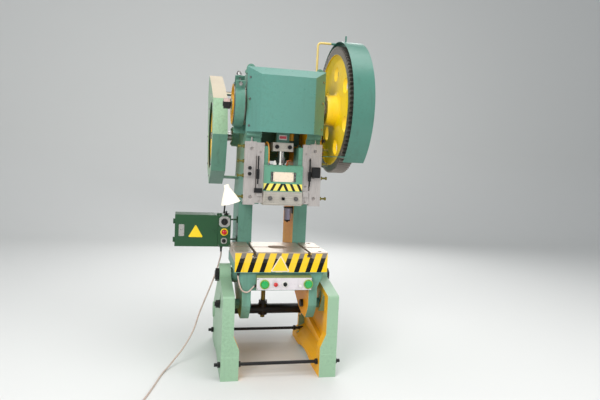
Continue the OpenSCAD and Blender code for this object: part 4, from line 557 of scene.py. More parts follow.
@dataclass(frozen=True)
class Finish:
    """A plain finish: one colour with mottling, dirt and a fine skin."""

    name: str
    colour: Colour
    roughness: float = 0.4
    metallic: float = 0.0
    mottle: float = 0.10
    dirt: float = 0.30
    dirt_colour: Colour = (0.22, 0.19, 0.15)
    bump: float = 0.3
    grain: float = 220.0
    coat: float = 0.0
    specular: float = 0.5

    def material(self, effects: Effects) -> bpy.types.Material:
        """Builds the material.

        Args:
            effects: The shared node groups.

        Returns:
            The new material.
        """
        made = bpy.data.materials.new(self.name)
        made.use_nodes = True
        made.node_tree.nodes.clear()
        graph = Graph(made.node_tree)
        vector = graph.add("ShaderNodeTexCoord").outputs["Object"]
        shader = graph.add("ShaderNodeBsdfPrincipled")
        output = graph.add("ShaderNodeOutputMaterial")
        graph.feed(output.inputs[0], shader.outputs[0])
        colour, roughness, metallic = self.surface(graph, vector, effects)
        dirt = effects.dirt.place(
            graph, Vector=vector, Colour=colour, Dirt_Colour=linear(self.dirt_colour),
            Mottle=self.mottle, Dirt=self.dirt, Roughness=roughness)
        graph.feed(shader.inputs["Base Color"], dirt.outputs["Colour"])
        graph.feed(shader.inputs["Roughness"], dirt.outputs["Roughness"])
        graph.feed(shader.inputs["Metallic"], metallic)
        shader.inputs["Specular IOR Level"].default_value = self.specular
        shader.inputs["Coat Weight"].default_value = self.coat
        skin = graph.add("ShaderNodeBump")
        skin.inputs["Strength"].default_value = self.bump
        skin.inputs["Distance"].default_value = SKIN_DEPTH
        grain = graph.noise(vector, self.grain, 3.0)
        graph.feed(skin.inputs["Height"],
                   graph.math("MULTIPLY_ADD", grain, GRAIN_WEIGHT, dirt.outputs["Height"]))
        graph.feed(shader.inputs["Normal"], skin.outputs[0])
        self.extra(shader)
        return made

    def surface(self, graph: Graph, vector: Socket, effects: Effects) -> Surface:
        """Gives the clean surface before its dirt.

        Args:
            graph: The material's tree.
            vector: Object coordinates.
            effects: The shared node groups.

        Returns:
            Colour, roughness and metallic, as values or sockets.
        """
        return linear(self.colour), self.roughness, self.metallic

    def extra(self, shader: Node) -> None:
        """Adds what only some finishes have.

        Args:
            shader: The surface shader.
        """


@dataclass(frozen=True)
class Label(Finish):
    """The smooth skin of a bare sign or type plate."""

    roughness: float = 0.34
    mottle: float = 0.12
    dirt: float = 0.22
    bump: float = 0.1


@dataclass(frozen=True)
class InsidePaint(Finish):
    """Enamel of two colours: one outside, another on the faces that look inwards."""

    inside: Colour = (0.80, 0.55, 0.12)
    low: float = -1.0

    def surface(self, graph: Graph, vector: Socket, effects: Effects) -> Surface:
        """Gives the two-coloured surface. See the base class."""
        mask = effects.inward.place(graph, Vector=vector, Low=self.low).outputs["Mask"]
        return graph.mix(mask, linear(self.colour), linear(self.inside)), self.roughness, 0.0


@dataclass(frozen=True)
class StripeSpec:
    """Sizes and colours of a field of warning stripes, and of the painted glare on its dark
    stripes.
    """

    yellow: Colour = (0.98, 0.80, 0.16)
    black: Colour = (0.05, 0.05, 0.05)
    # Grey of the painted glare on the dark stripes.
    glare: Colour = (0.50, 0.47, 0.44)
    pitch: float = 0.0885
    slant: float = 0.30
    shift: float = 0.0
    mirrored: float = 0.0
    low: float = 0.0
    high: float = 1.0
    half_width: float = 1.0
    front: float = 0.0
    dark_share: float = 0.42
    glare_from: float = 9.0

    def paint(self, graph: Graph, vector: Socket, effects: Effects,
              ground: object) -> tuple[Socket, Socket]:
        """Lays the stripes over a ground colour.

        Args:
            graph: The material's tree.
            vector: Object coordinates.
            effects: The shared node groups.
            ground: The colour round the stripes.

        Returns:
            The colour, and the mask of what is painted.
        """
        stripes = effects.stripes.place(
            graph, Vector=vector, Pitch=self.pitch, Slant=self.slant, Shift=self.shift,
            Mirrored=self.mirrored, Low=self.low, High=self.high,
            Half_Width=self.half_width, Front=self.front, Dark_Share=self.dark_share,
            Worn_From=self.glare_from)
        # Dark stripes take the painted glare's grey where the glare lies.
        dark = graph.mix(stripes.outputs["Worn"], linear(self.black), linear(self.glare))
        bands = graph.mix(stripes.outputs["Stripe"], linear(self.yellow), dark)
        area = stripes.outputs["Area"]
        return graph.mix(area, ground, bands), area


SLIDE_STRIPES = StripeSpec(yellow=(0.94, 0.88, 0.42), pitch=0.054, slant=-0.5, shift=0.006,
                           mirrored=1.0, low=1.410, high=1.464, half_width=0.1515,
                           front=-0.32, dark_share=0.40)
# On the table, the dark stripes above z 0.905 carry the painted glare of its upper front edge.
TABLE_STRIPES = StripeSpec(shift=0.020, low=0.800, high=0.944, half_width=0.36,
                           front=-0.415, glare_from=0.905)


@dataclass(frozen=True)
class StripedPaint(InsidePaint):
    """Enamel with another colour inside and warning stripes on one front face."""

    stripes: StripeSpec = TABLE_STRIPES

    def surface(self, graph: Graph, vector: Socket, effects: Effects) -> Surface:
        """Gives the striped enamel. See the base class."""
        ground, roughness, _ = super().surface(graph, vector, effects)
        colour, _ = self.stripes.paint(graph, vector, effects, ground)
        return colour, roughness, 0.0


@dataclass(frozen=True)
class StripedSteel(Finish):
    """Bare steel with warning stripes on its front face."""

    stripes: StripeSpec = TABLE_STRIPES

    def surface(self, graph: Graph, vector: Socket, effects: Effects) -> Surface:
        """Gives the striped steel. See the base class."""
        colour, mask = self.stripes.paint(graph, vector, effects, linear(self.colour))
        clear = graph.math("SUBTRACT", 1.0, mask)
        return colour, self.roughness, graph.math("MULTIPLY", clear, self.metallic)


@dataclass(frozen=True)
class FacePaint(Finish):
    """Enamel that is one colour in front and another on every other side."""

    other: Colour = (0.44, 0.50, 0.29)
    facing_below: float = -0.85

    def surface(self, graph: Graph, vector: Socket, effects: Effects) -> Surface:
        """Gives the two-coloured surface. See the base class."""
        front = graph.math("LESS_THAN", graph.normal()[1], self.facing_below)
        return graph.mix(front, linear(self.other), linear(self.colour)), self.roughness, 0.0


@dataclass(frozen=True)
class DustSheenShadePaint(Finish):
    """Enamel with a painted sheen, partly settled dust, on the faces that look up, and a painted
    shade colour on the faces that look down.
    """

    # Pale pink for the faces that look up: a painted sheen of the roof light, with settled dust.
    dust_and_sheen: Colour = (0.84, 0.77, 0.68)
    # Darker colour for the faces that look down: painted shade.
    painted_shade: Colour = (0.36, 0.54, 0.46)
    painted_shade_below: float = -0.15
    dust_sheen_waves: float = 26.0
    dust_sheen_edge: float = 0.24
    dust_sheen_span: tuple[float, float] = (0.60, 0.80)
    dust_sheen_cover: float = 0.9
    dust_roughness: float = 0.3

    def surface(self, graph: Graph, vector: Socket, effects: Effects) -> Surface:
        """Gives the surface with its painted sheen, partly dust, and its painted shade. See the
        base class.
        """
        up = graph.normal()[2]
        # Pale pink in noisy patches on the faces that look up: a painted sheen of the roof light,
        # partly settled dust, which also roughens them.
        patches = graph.math("MULTIPLY_ADD", graph.noise(vector, self.dust_sheen_waves, 3.0),
                             self.dust_sheen_edge, -self.dust_sheen_edge / 2)
        # Faces that look down take the darker colour as painted shade.
        body = graph.mix(graph.math("LESS_THAN", up, self.painted_shade_below), linear(self.colour),
                         linear(self.painted_shade))
        edge = graph.span(graph.math("ADD", up, patches), *self.dust_sheen_span)
        dust_sheen_amount = graph.math("MULTIPLY", edge, self.dust_sheen_cover)
        rough = graph.math("MULTIPLY_ADD", dust_sheen_amount, self.dust_roughness, self.roughness)
        return graph.mix(dust_sheen_amount, body, linear(self.dust_and_sheen)), rough, 0.0


@dataclass(frozen=True)
class WheelPaint(Finish):
    """Paint on a wheel's web and bare steel from a radius outwards."""

    centre: Point = (0.0, 0.0, 0.0)
    bare_from: float = 0.4
    bare: Colour = (0.45, 0.43, 0.40)
    bare_metallic: float = 0.9

    def surface(self, graph: Graph, vector: Socket, effects: Effects) -> Surface:
        """Gives the painted wheel. See the base class."""
        _, y, z = graph.split(vector)
        dy = graph.math("SUBTRACT", y, self.centre[1])
        dz = graph.math("SUBTRACT", z, self.centre[2])
        reach = graph.math("SQRT", graph.math(
            "ADD", graph.math("MULTIPLY", dy, dy), graph.math("MULTIPLY", dz, dz)))
        rim = graph.math("GREATER_THAN", reach, self.bare_from)
        colour = graph.mix(rim, linear(self.colour), linear(self.bare))
        return colour, self.roughness, graph.math("MULTIPLY", rim, self.bare_metallic)


@dataclass(frozen=True)
class BoxedPaint(Finish):
    """One colour outside a box of the frame's metres, and another inside it."""

    low: Point = (0.0, 0.0, 0.0)
    high: Point = (0.0, 0.0, 0.0)
    other: Colour = (0.90, 0.80, 0.50)

    def surface(self, graph: Graph, vector: Socket, effects: Effects) -> Surface:
        """Gives the two-coloured surface. See the base class."""
        inside = 1.0
        for value, low, high in zip(graph.split(vector), self.low, self.high):
            inside = graph.math("MULTIPLY", inside, graph.math("GREATER_THAN", value, low))
            inside = graph.math("MULTIPLY", inside, graph.math("LESS_THAN", value, high))
        colour = graph.mix(inside, linear(self.colour), linear(self.other))
        return colour, self.roughness, self.metallic


@dataclass(frozen=True)
class WorkedSteel(Finish):
    """Steel with the fine marks of grinding or turning along one direction."""

    marks: Point = (8.0, 300.0, 300.0)
    streaks: float = 0.28
    gloss_change: float = 0.25

    def surface(self, graph: Graph, vector: Socket, effects: Effects) -> Surface:
        """Gives the worked surface. See the base class."""
        stretch = graph.add("ShaderNodeMapping")
        stretch.inputs["Scale"].default_value = self.marks
        graph.feed(stretch.inputs["Vector"], vector)
        lines = graph.noise(stretch.outputs[0], 1.0, 3.0)
        dark = tuple((1.0 - self.streaks) * c for c in self.colour)
        colour = graph.mix(graph.span(lines, 0.35, 0.65), linear(dark), linear(self.colour))
        rough = graph.math("MULTIPLY_ADD", lines, self.gloss_change, self.roughness - 0.12)
        return colour, rough, self.metallic


@dataclass(frozen=True)
class GlowFinish(Finish):
    """A surface that the lamp lights from within."""

    glow: Colour = (1.0, 0.93, 0.80)
    strength: float = 1.0

    def extra(self, shader: Node) -> None:
        """Adds the glow. See the base class."""
        shader.inputs["Emission Color"].default_value = linear(self.glow)
        shader.inputs["Emission Strength"].default_value = self.strength


FINISHES: dict[str, Finish] = {
    "leg": InsidePaint("leg_paint", colour=(0.60, 0.73, 0.61), inside=(1.0, 0.74, 0.08),
                       roughness=0.42, mottle=0.04, dirt=0.16, specular=0.22, low=0.42),
    "frame": StripedPaint("frame_paint", colour=(0.43, 0.61, 0.54), inside=(1.0, 0.70, 0.04),
                         roughness=0.42, mottle=0.07, dirt=0.26, specular=0.18),
    "cover": Finish("cover_paint", colour=(0.36, 0.56, 0.51), roughness=0.32, mottle=0.06,
                    dirt=0.16, coat=0.15),
    # Guard: painted shade on the faces that look down, painted sheen with dust on the faces that
    # look up.
    "guard": DustSheenShadePaint("guard_paint", colour=(0.58, 0.72, 0.58), roughness=0.40, mottle=0.04,
                         dirt=0.28),
    "hoop": BoxedPaint("hoop_paint", colour=(0.285, 0.49, 0.43), roughness=0.36, mottle=0.06,
                       dirt=0.24, low=(0.20, -0.40, 2.30), high=(0.372, 0.20, 2.70),
                       other=(0.88, 0.78, 0.46)),
    "band": Finish("band_paint", colour=(0.34, 0.53, 0.46), roughness=0.38, mottle=0.08),
    "nuts": BoxedPaint("nut_steel", colour=(0.52, 0.51, 0.50), roughness=0.28, metallic=0.85,
                       mottle=0.10, dirt=0.22, low=(-0.03, -0.50, 1.20),
                       high=(0.03, -0.05, 1.50), other=(0.10, 0.10, 0.11)),
    "slide": StripedPaint("slide_paint", colour=(0.38, 0.60, 0.50),
                          inside=(0.38, 0.60, 0.50), roughness=0.36,
                          stripes=SLIDE_STRIPES),
    "rod": Finish("rod_paint", colour=(0.33, 0.52, 0.46), roughness=0.38, mottle=0.12,
                  dirt=0.42),
    "cap": Finish("cap_paint", colour=(0.50, 0.55, 0.52), roughness=0.42, mottle=0.14,
                  dirt=0.45),
    "cabinet": Finish("cabinet_paint", colour=(0.09, 0.29, 0.15), roughness=0.42, mottle=0.10,
                      dirt=0.16, coat=0.05),
    "wheel": WheelPaint("wheel_paint", colour=(1.0, 0.83, 0.18), roughness=0.36, dirt=0.22,
                        centre=PINION_AXIS, bare_from=0.3535),
    "gear": WheelPaint("gear_paint", colour=(1.0, 0.84, 0.16), roughness=0.40, dirt=0.16,
                       centre=CRANK_AXIS, bare_from=0.4325, bare=(0.54, 0.51, 0.48)),
    "drum": WheelPaint("drum_paint", colour=(0.88, 0.66, 0.15), roughness=0.42, dirt=0.34,
                       centre=CRANK_AXIS, bare_from=0.1537),
    "trip": Finish("trip_paint", colour=(0.85, 0.60, 0.12), roughness=0.40, dirt=0.34),
    "bolster": StripedSteel("bolster_steel", colour=(0.74, 0.67, 0.60), roughness=0.36,
                            metallic=0.55, mottle=0.16, dirt=0.24),
    "ground": WorkedSteel("ground_steel", colour=(0.80, 0.77, 0.75), roughness=0.34,
                          metallic=0.50, mottle=0.07, dirt=0.14, marks=(420.0, 420.0, 10.0),
                          streaks=0.10),
    "turned": WorkedSteel("turned_steel", colour=(0.72, 0.71, 0.70), roughness=0.26,
                          metallic=0.95, mottle=0.08, dirt=0.16, marks=(220.0, 14.0, 14.0)),
    "clamp": WorkedSteel("clamp_steel", colour=(0.82, 0.79, 0.74), roughness=0.32,
                         metallic=0.50, mottle=0.08, dirt=0.18, marks=(10.0, 420.0, 420.0),
                         streaks=0.12),
    "black": Finish("black_steel", colour=(0.075, 0.075, 0.08), roughness=0.42, metallic=0.2,
                    mottle=0.20, dirt=0.22, dirt_colour=(0.20, 0.16, 0.12)),
    "olive": WorkedSteel("olive_brass", colour=(0.56, 0.52, 0.24), roughness=0.36,
                         metallic=0.55, mottle=0.14, dirt=0.34, marks=(200.0, 200.0, 10.0)),
    "bronze": WorkedSteel("bronze_bush", colour=(0.66, 0.46, 0.24), roughness=0.30,
                          metallic=0.9, dirt=0.30, marks=(10.0, 200.0, 200.0)),
    "belt": Finish("belt_rubber", colour=(0.055, 0.055, 0.055), roughness=0.68, mottle=0.18,
                   dirt=0.30, dirt_colour=(0.16, 0.15, 0.14), grain=420.0),
    "black_plastic": Finish("black_plastic", colour=(0.05, 0.05, 0.055), roughness=0.40,
                            mottle=0.12, dirt=0.16, grain=500.0, bump=0.2),
    "red_plastic": Finish("red_plastic", colour=(0.78, 0.07, 0.07), roughness=0.24,
                          mottle=0.06, dirt=0.10, bump=0.08, coat=0.4),
    "signal_green": Finish("signal_green", colour=(0.12, 0.66, 0.32), roughness=0.24,
                           mottle=0.06, dirt=0.10, bump=0.08, coat=0.4),
    "cable": Finish("cable_sheath", colour=(0.80, 0.71, 0.66), roughness=0.50, mottle=0.12,
                    dirt=0.34, grain=600.0, bump=0.2),
    "shade": GlowFinish("shade_enamel", colour=(0.93, 0.92, 0.86), roughness=0.36,
                        mottle=0.05, dirt=0.14, strength=0.28),
    "bulb": GlowFinish("lit_bulb", colour=(1.0, 0.97, 0.88), roughness=0.3, mottle=0.02,
                       dirt=0.03, strength=2.6),
    "panel": FacePaint("panel_enamel", colour=(0.86, 0.83, 0.84), roughness=0.34, mottle=0.06,
                       dirt=0.18),
    "motor": Finish("motor_paint", colour=(0.40, 0.60, 0.52), roughness=0.42, mottle=0.12,
                    dirt=0.40),
    "plate_cream": Label("cream_plate", colour=(0.93, 0.86, 0.77), mottle=0.10, dirt=0.24,
                         grain=500.0),
    "plate_rose": Label("rose_plate", colour=(0.86, 0.33, 0.38)),
    "plate_pale_pink": Label("pale_pink_plate", colour=(0.83, 0.74, 0.72), roughness=0.5, dirt=0.26),
    "plate_silver": Label("silver_plate", colour=(0.74, 0.73, 0.71), roughness=0.30,
                          metallic=0.7),
    "plate_lavender": Label("lavender_plate", colour=(0.66, 0.64, 0.74), roughness=0.36,
                            mottle=0.10),
    "plate_yellow": Label("yellow_plate", colour=(0.95, 0.82, 0.12), mottle=0.06, dirt=0.16),
    "white_plastic": Finish("white_plastic", colour=(0.88, 0.87, 0.84), roughness=0.36,
                            mottle=0.08, dirt=0.20, grain=500.0, bump=0.1),
    "ring_green": Finish("ring_plastic", colour=(0.62, 0.80, 0.22), roughness=0.30,
                         mottle=0.06, dirt=0.14, bump=0.08),
    "hose_orange": Finish("ochre_hose", colour=(0.82, 0.56, 0.18), roughness=0.36,
                          mottle=0.08, dirt=0.20, bump=0.1),
    "copper": WorkedSteel("copper_pipe", colour=(0.74, 0.43, 0.28), roughness=0.28,
                          metallic=0.95, mottle=0.12, dirt=0.22, marks=(60.0, 60.0, 8.0)),
}

NODE_FINISH: dict[str, str] = {
    "left_leg": "leg", "right_leg": "leg", "tie_rods": "black", "trunnion_pins": "black",
    "tilt_cross_tube": "black", "tilt_screw": "olive", "frame_casting": "frame",
    "tilt_clamp_bolts": "black", "bolster_plate": "bolster", "bolster_bolts": "black",
    "left_gib": "ground", "right_gib": "ground", "gib_screws": "olive",
    "crank_bushes": "bronze", "crank_cover": "cover", "cover_screws": "turned",
    "pinion_bearings": "frame", "flywheel_guard": "guard", "gear_guard": "hoop",
    "brake_band": "band", "brake_tension_rod": "turned", "cam_switch": "black_plastic",
    "motor": "motor", "motor_plate": "motor", "drive_belts": "belt", "trip_housing": "trip",
    "trip_lever": "black", "crankshaft": "turned", "brake_drum": "drum",
    "large_gear": "gear", "pinion_shaft": "turned", "flywheel": "wheel",
    "motor_pulley": "black", "connecting_rod": "rod", "rod_cap": "cap",
    "ball_screw": "turned", "screw_clamp": "clamp", "slide": "slide",
    "shank_clamp": "clamp", "shank_clamp_nuts": "nuts", "overload_disc": "clamp",
    "knockout_bar": "turned", "control_panel": "panel", "start_button_left": "signal_green",
    "start_button_right": "signal_green", "stop_button": "red_plastic",
    "mode_selector": "black_plastic", "cabinet_box": "cabinet", "cabinet_door": "cabinet",
    "main_switch": "black_plastic", "emergency_button": "red_plastic",
    "work_light_switch": "black_plastic", "lamp_arm": "black", "lamp_shade": "shade",
    "lamp_bulb": "bulb", "cable_gland": "black_plastic",
}


class Paintshop:
    """Makes each finish once and gives it to nodes and pieces."""

    def __init__(self, effects: Effects) -> None:
        """Keeps the shared effects.

        Args:
            effects: The shared node groups.
        """
        self.effects = effects
        self.made: dict[str, bpy.types.Material] = {}

    def get(self, name: str) -> bpy.types.Material:
        """Gives a finish's material, made at its first use.

        Args:
            name: A key of FINISHES.

        Returns:
            The material.
        """
        if name not in self.made:
            self.made[name] = FINISHES[name].material(self.effects)
        return self.made[name]

    def dress_nodes(self) -> None:
        """Gives the fixed parts their finishes."""
        for node, finish in NODE_FINISH.items():
            materials = bpy.data.objects[node].data.materials
            materials.clear()
            materials.append(self.get(finish))
        log.info("dressed %d fixed parts", len(NODE_FINISH))


# Mesh helpers


class Maker:
    """Builds small pieces in place and hands them to their bodies."""

    def __init__(self, paints: Paintshop) -> None:
        """Keeps the paint shop.

        Args:
            paints: Where the finishes come from.
        """
        self.paints = paints

    def piece(self, name: str, mesh: Mesh, finish: str, body: str,
              smooth: float = 35.0) -> bpy.types.Object:
        """Turns a mesh into a piece that rides on a body.

        Args:
            name: Name of the piece.
            mesh: Its mesh in the frame's metres, freed here.
            finish: A key of FINISHES.
            body: The body that it rides on.
            smooth: Angle in degrees under which edges are shaded smooth.

        Returns:
            The new object.
        """
        bmesh.ops.recalc_face_normals(mesh, faces=mesh.faces)
        made = linked(name, mesh_data(name, mesh))
        made.data.materials.append(self.paints.get(finish))
        made.data.shade_smooth()
        made.data.set_sharp_from_angle(angle=math.radians(smooth))
        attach(made, body)
        log.info("%s on %s", name, body)
        return made

    @contextmanager
    def making(self, name: str, finish: str, body: str,
               smooth: float = 35.0) -> Iterator[Mesh]:
        """Opens a mesh that becomes a piece when its block ends.

        Args:
            name: Name of the piece.
            finish: A key of FINISHES.
            body: The body that it rides on.
            smooth: Angle in degrees under which edges are shaded smooth.

        Returns:
            The open mesh, to be filled in the frame's metres.
        """
        mesh = bmesh.new()
        yield mesh
        self.piece(name, mesh, finish, body, smooth)


def skin(mesh: Mesh, rings: Sequence[Sequence[bmesh.types.BMVert]],
         capped: bool = False) -> None:
    """Joins rings of corners with faces.

    Args:
        mesh: The mesh to add to.
        rings: Rings of equally many corners, or of one corner where they meet an axis.
        capped: Whether the first and the last ring are closed with a face.
    """
    sides = max(len(ring) for ring in rings)
    for low, high in zip(rings, rings[1:]):
        for k in range(sides):
            after = (k + 1) % sides
            corners = (low[k % len(low)], low[after % len(low)],
                       high[after % len(high)], high[k % len(high)])
            unique = list(dict.fromkeys(corners))
            if len(unique) > 2:
                mesh.faces.new(unique)
    if capped:
        mesh.faces.new(rings[0][::-1])
        mesh.faces.new(rings[-1])


def lathe(mesh: Mesh, profile: Profile, foot: Point, direction: Point, sides: int = 32) -> None:
    """Turns a closed profile round an axis.

    Args:
        mesh: The mesh to add to.
        profile: Radius and height of each point, from axis to axis.
        foot: Where height 0 lies.
        direction: The axis.
        sides: Number of steps round the axis.
    """
    place = placed(foot, direction)
    rings = [[mesh.verts.new(place @ Vector((radius * across, radius * along, height)))
              for across, along in round_steps(sides if radius > 0.0 else 1)]
             for radius, height in profile]
    skin(mesh, rings)


def plate(mesh: Mesh, centre: Point, size: tuple[float, float, float],
          radius: float, edge: float, facing: Point = FORWARD) -> None:
    """Adds a plate with round corners and a chamfered face.

    Args:
        mesh: The mesh to add to.
        centre: Middle of the plate's back.
        size: Width, height and thickness.
        radius: Radius of the corners.
        edge: Width of the chamfer.
        facing: The direction that the plate faces.
    """
    width, height, thick = size
    z = Vector(facing).normalized()
    up = Vector(UP) if abs(z.z) < 0.9 else -Vector(FORWARD)
    x = up.cross(z).normalized()
    y = z.cross(x)
    rings = []
    for inset, level in ((0.0, 0.0), (0.0, thick - edge), (edge, thick)):
        ring = []
        for quarter, (sx, sy) in enumerate(((1, 1), (-1, 1), (-1, -1), (1, -1))):
            for k in range(CORNER_STEPS + 1):
                a = math.radians(90.0 * (quarter + k / CORNER_STEPS))
                u = sx * (width / 2 - radius) + (radius - inset) * math.cos(a)
                v = sy * (height / 2 - radius) + (radius - inset) * math.sin(a)
                ring.append(mesh.verts.new(Vector(centre) + x * u + y * v + z * level))
        rings.append(ring)
    skin(mesh, rings, capped=True)


def smooth_line(points: Sequence[Vector], steps: int) -> list[Vector]:
    """Runs a smooth line through points.

    Args:
        points: The points that the line passes.
        steps: Number of steps from one point to the next.

    Returns:
        The points of the line.
    """
    line = []
    for i in range(len(points) - 1):
        a = points[max(i - 1, 0)]
        b, c = points[i], points[i + 1]
        d = points[min(i + 2, len(points) - 1)]
        for k in range(steps):
            t = k / steps
            line.append(0.5 * (2 * b + (c - a) * t + (2 * a - 5 * b + 4 * c - d) * t ** 2
                               + (3 * b - a - 3 * c + d) * t ** 3))
    line.append(points[-1].copy())
    return line


def tube(mesh: Mesh, line: Sequence[Vector], radius: float, sides: int = 16) -> None:
    """Lays a round tube along a line, closed at both ends.

    Args:
        mesh: The mesh to add to.
        line: The points that the tube follows.
        radius: Its radius.
        sides: Number of faces round it.
    """
    side = None
    rings = []
    for i, point in enumerate(line):
        along = (line[min(i + 1, len(line) - 1)] - line[max(i - 1, 0)]).normalized()
        if side is None:
            side = along.orthogonal().normalized()
        side = (side - along * side.dot(along)).normalized()
        other = along.cross(side)
        rings.append([mesh.verts.new(point + radius * (side * cosine + other * sine))
                      for cosine, sine in round_steps(sides)])
    skin(mesh, rings, capped=True)


def hexagon(mesh: Mesh, foot: Point, direction: Point, across: float, height: float) -> None:
    """Adds a hexagon head or nut with a chamfered top.

    Args:
        mesh: The mesh to add to.
        foot: Middle of the underside.
        direction: The way that it stands up.
        across: Size across the flats.
        height: Its height.
    """
    r = across / math.sqrt(3.0)
    lathe(mesh, [(0.0, 0.0), (r, 0.0), (r, 0.8 * height), (0.84 * r, height), (0.0, height)],
          foot, direction, 6)


def three_sided(mesh: Mesh, centre: Point, side: float, radius: float,
                thick: float) -> None:
    """Adds a triangular plate with round corners, point up, facing forwards.

    Args:
        mesh: The mesh to add to.
        centre: Middle of its back.
        side: Length of a side.
        radius: Radius of its corners.
        thick: Its thickness.
    """
    reach = side / math.sqrt(3.0) - 2.0 * radius
    rings = []
    for inset, level in ((0.0, 0.0), (0.0, 0.7 * thick), (0.3 * thick, thick)):
        ring = []
        for corner in range(3):
            middle = math.radians(90.0 + 120.0 * corner)
            for k in range(CORNER_STEPS + 2):
                a = middle + math.radians(-60.0 + 120.0 * k / (CORNER_STEPS + 1))
                r = radius - inset
                ring.append(mesh.verts.new((
                    centre[0] + reach * math.cos(middle) + r * math.cos(a), centre[1] - level,
                    centre[2] + reach * math.sin(middle) + r * math.sin(a))))
        rings.append(ring)
    skin(mesh, rings, capped=True)


def escutcheon(mesh: Mesh, centre: Point, side: float, hole: float, thick: float,
               steps: int = 48) -> None:
    """Adds a square plate with clipped corners and a round hole, facing forwards.

    Args:
        mesh: The mesh to add to.
        centre: Middle of its back.
        side: Side of the square.
        hole: Radius of the hole.
        thick: Its thickness.
        steps: Number of steps round the hole.
    """
    rings = []
    for on_hole, level in ((True, 0.0), (False, 0.0), (False, thick), (True, thick)):
        ring = []
        for cosine, sine in round_steps(steps):
            square = side / 2 / max(abs(cosine), abs(sine))
            r = hole if on_hole else min(square, 0.56 * side)
            ring.append(mesh.verts.new((centre[0] + r * cosine, centre[1] - level,
                                        centre[2] + r * sine)))
        rings.append(ring)
    skin(mesh, rings + rings[:1])


# Camera, light and floor


@dataclass
class PhotoCamera:
    """The camera at the photograph's viewing angle, with its turns in radians."""

    place: Point = (-0.7629, -4.3619, 1.6597)
    yaw: float = 0.2195
    pitch: float = -0.0761
    roll: float = 0.0460
    focal_px: float = 537.8

    def build(self) -> bpy.types.Object:
        """Makes the camera and sets it as the scene's.

        Returns:
            The camera.
        """
        forward = Vector((math.sin(self.yaw) * math.cos(self.pitch),
                          math.cos(self.yaw) * math.cos(self.pitch), math.sin(self.pitch)))
        right = Vector((math.cos(self.yaw), -math.sin(self.yaw), 0.0))
        up = right.cross(forward)
        turned = right * math.cos(self.roll) + up * math.sin(self.roll)
        over = up * math.cos(self.roll) - right * math.sin(self.roll)
        data = bpy.data.cameras.new("photo_camera")
        data.sensor_fit = "HORIZONTAL"
        data.sensor_width = SENSOR_MM
        data.lens = self.focal_px * SENSOR_MM / PHOTO_WIDTH
        camera = linked("photo_camera", data)
        axes = Matrix((turned, over, -forward)).transposed().to_4x4()
        camera.matrix_world = Matrix.Translation(Vector(self.place)) @ axes
        bpy.context.scene.camera = camera
        return camera


@dataclass(frozen=True)
class SoftLamp:
    """A soft square lamp that points at a target."""

    name: str
    place: Point
    target: Point
    side: float
    watts: float

    def build(self) -> None:
        """Makes the lamp."""
        data = bpy.data.lights.new(self.name, "AREA")
        data.shape = "SQUARE"
        data.size = self.side
        data.energy = self.watts
        away = Vector(self.place) - Vector(self.target)
        linked(self.name, data).matrix_world = placed(self.place, tuple(away))


STUDIO_LAMPS = (
    SoftLamp("key_light", (-3.6, -5.2, 4.6), (0.0, 0.0, 1.4), side=3.2, watts=290.0),
    SoftLamp("fill_light", (4.4, -3.8, 3.0), (0.0, 0.0, 1.2), side=3.6, watts=95.0),
    SoftLamp("top_light", (0.4, -0.6, 6.4), (0.0, 0.2, 1.0), side=4.0, watts=180.0),
    SoftLamp("back_light", (1.6, 5.2, 3.8), (0.0, 0.2, 1.4), side=3.6, watts=150.0),
)


@dataclass
class Studio:
    """A pale floor and backdrop under soft lamps."""

    floor_side: float = 26.0
    floor_drop: float = 0.0004
    wall_y: float = 6.0
    wall_top: float = 12.0
    sweep: float = 2.0
    floor_colour: Colour = (0.86, 0.86, 0.85)
    floor_roughness: float = 0.85
    sky: Colour = (0.90, 0.92, 0.94)
    sky_strength: float = 0.54

    def build(self) -> None:
        """Makes the floor, the world and the lamps."""
        self.floor()
        self.world()
        for lamp in STUDIO_LAMPS:
            lamp.build()

    def floor(self) -> None:
        """Makes the floor with a swept-up back."""
        mesh = bmesh.new()
        half = self.floor_side / 2
        section = [(-half, 0.0), (self.wall_y, 0.0)]
        section += [(self.wall_y + self.sweep * math.sin(math.radians(a)),
                     self.sweep * (1.0 - math.cos(math.radians(a)))) for a in range(10, 91, 10)]
        section.append((self.wall_y + self.sweep, self.wall_top))
        left, right = [[mesh.verts.new((x, y, z - self.floor_drop)) for y, z in section]
                       for x in (-half, half)]
        for k in range(len(section) - 1):
            mesh.faces.new((left[k], right[k], right[k + 1], left[k + 1]))
        floor = linked("studio_floor", mesh_data("studio_floor", mesh))
        floor.data.shade_smooth()
        paper = bpy.data.materials.new("studio_paper")
        paper.use_nodes = True
        shader = paper.node_tree.nodes["Principled BSDF"]
        shader.inputs["Base Color"].default_value = linear(self.floor_colour)
        shader.inputs["Roughness"].default_value = self.floor_roughness
        floor.data.materials.append(paper)

    def world(self) -> None:
        """Makes the even light from all round."""
        world = bpy.data.worlds.new("studio_world")
        world.use_nodes = True
        ground = world.node_tree.nodes["Background"]
        ground.inputs["Color"].default_value = linear(self.sky)
        ground.inputs["Strength"].default_value = self.sky_strength
        bpy.context.scene.world = world


# Cables


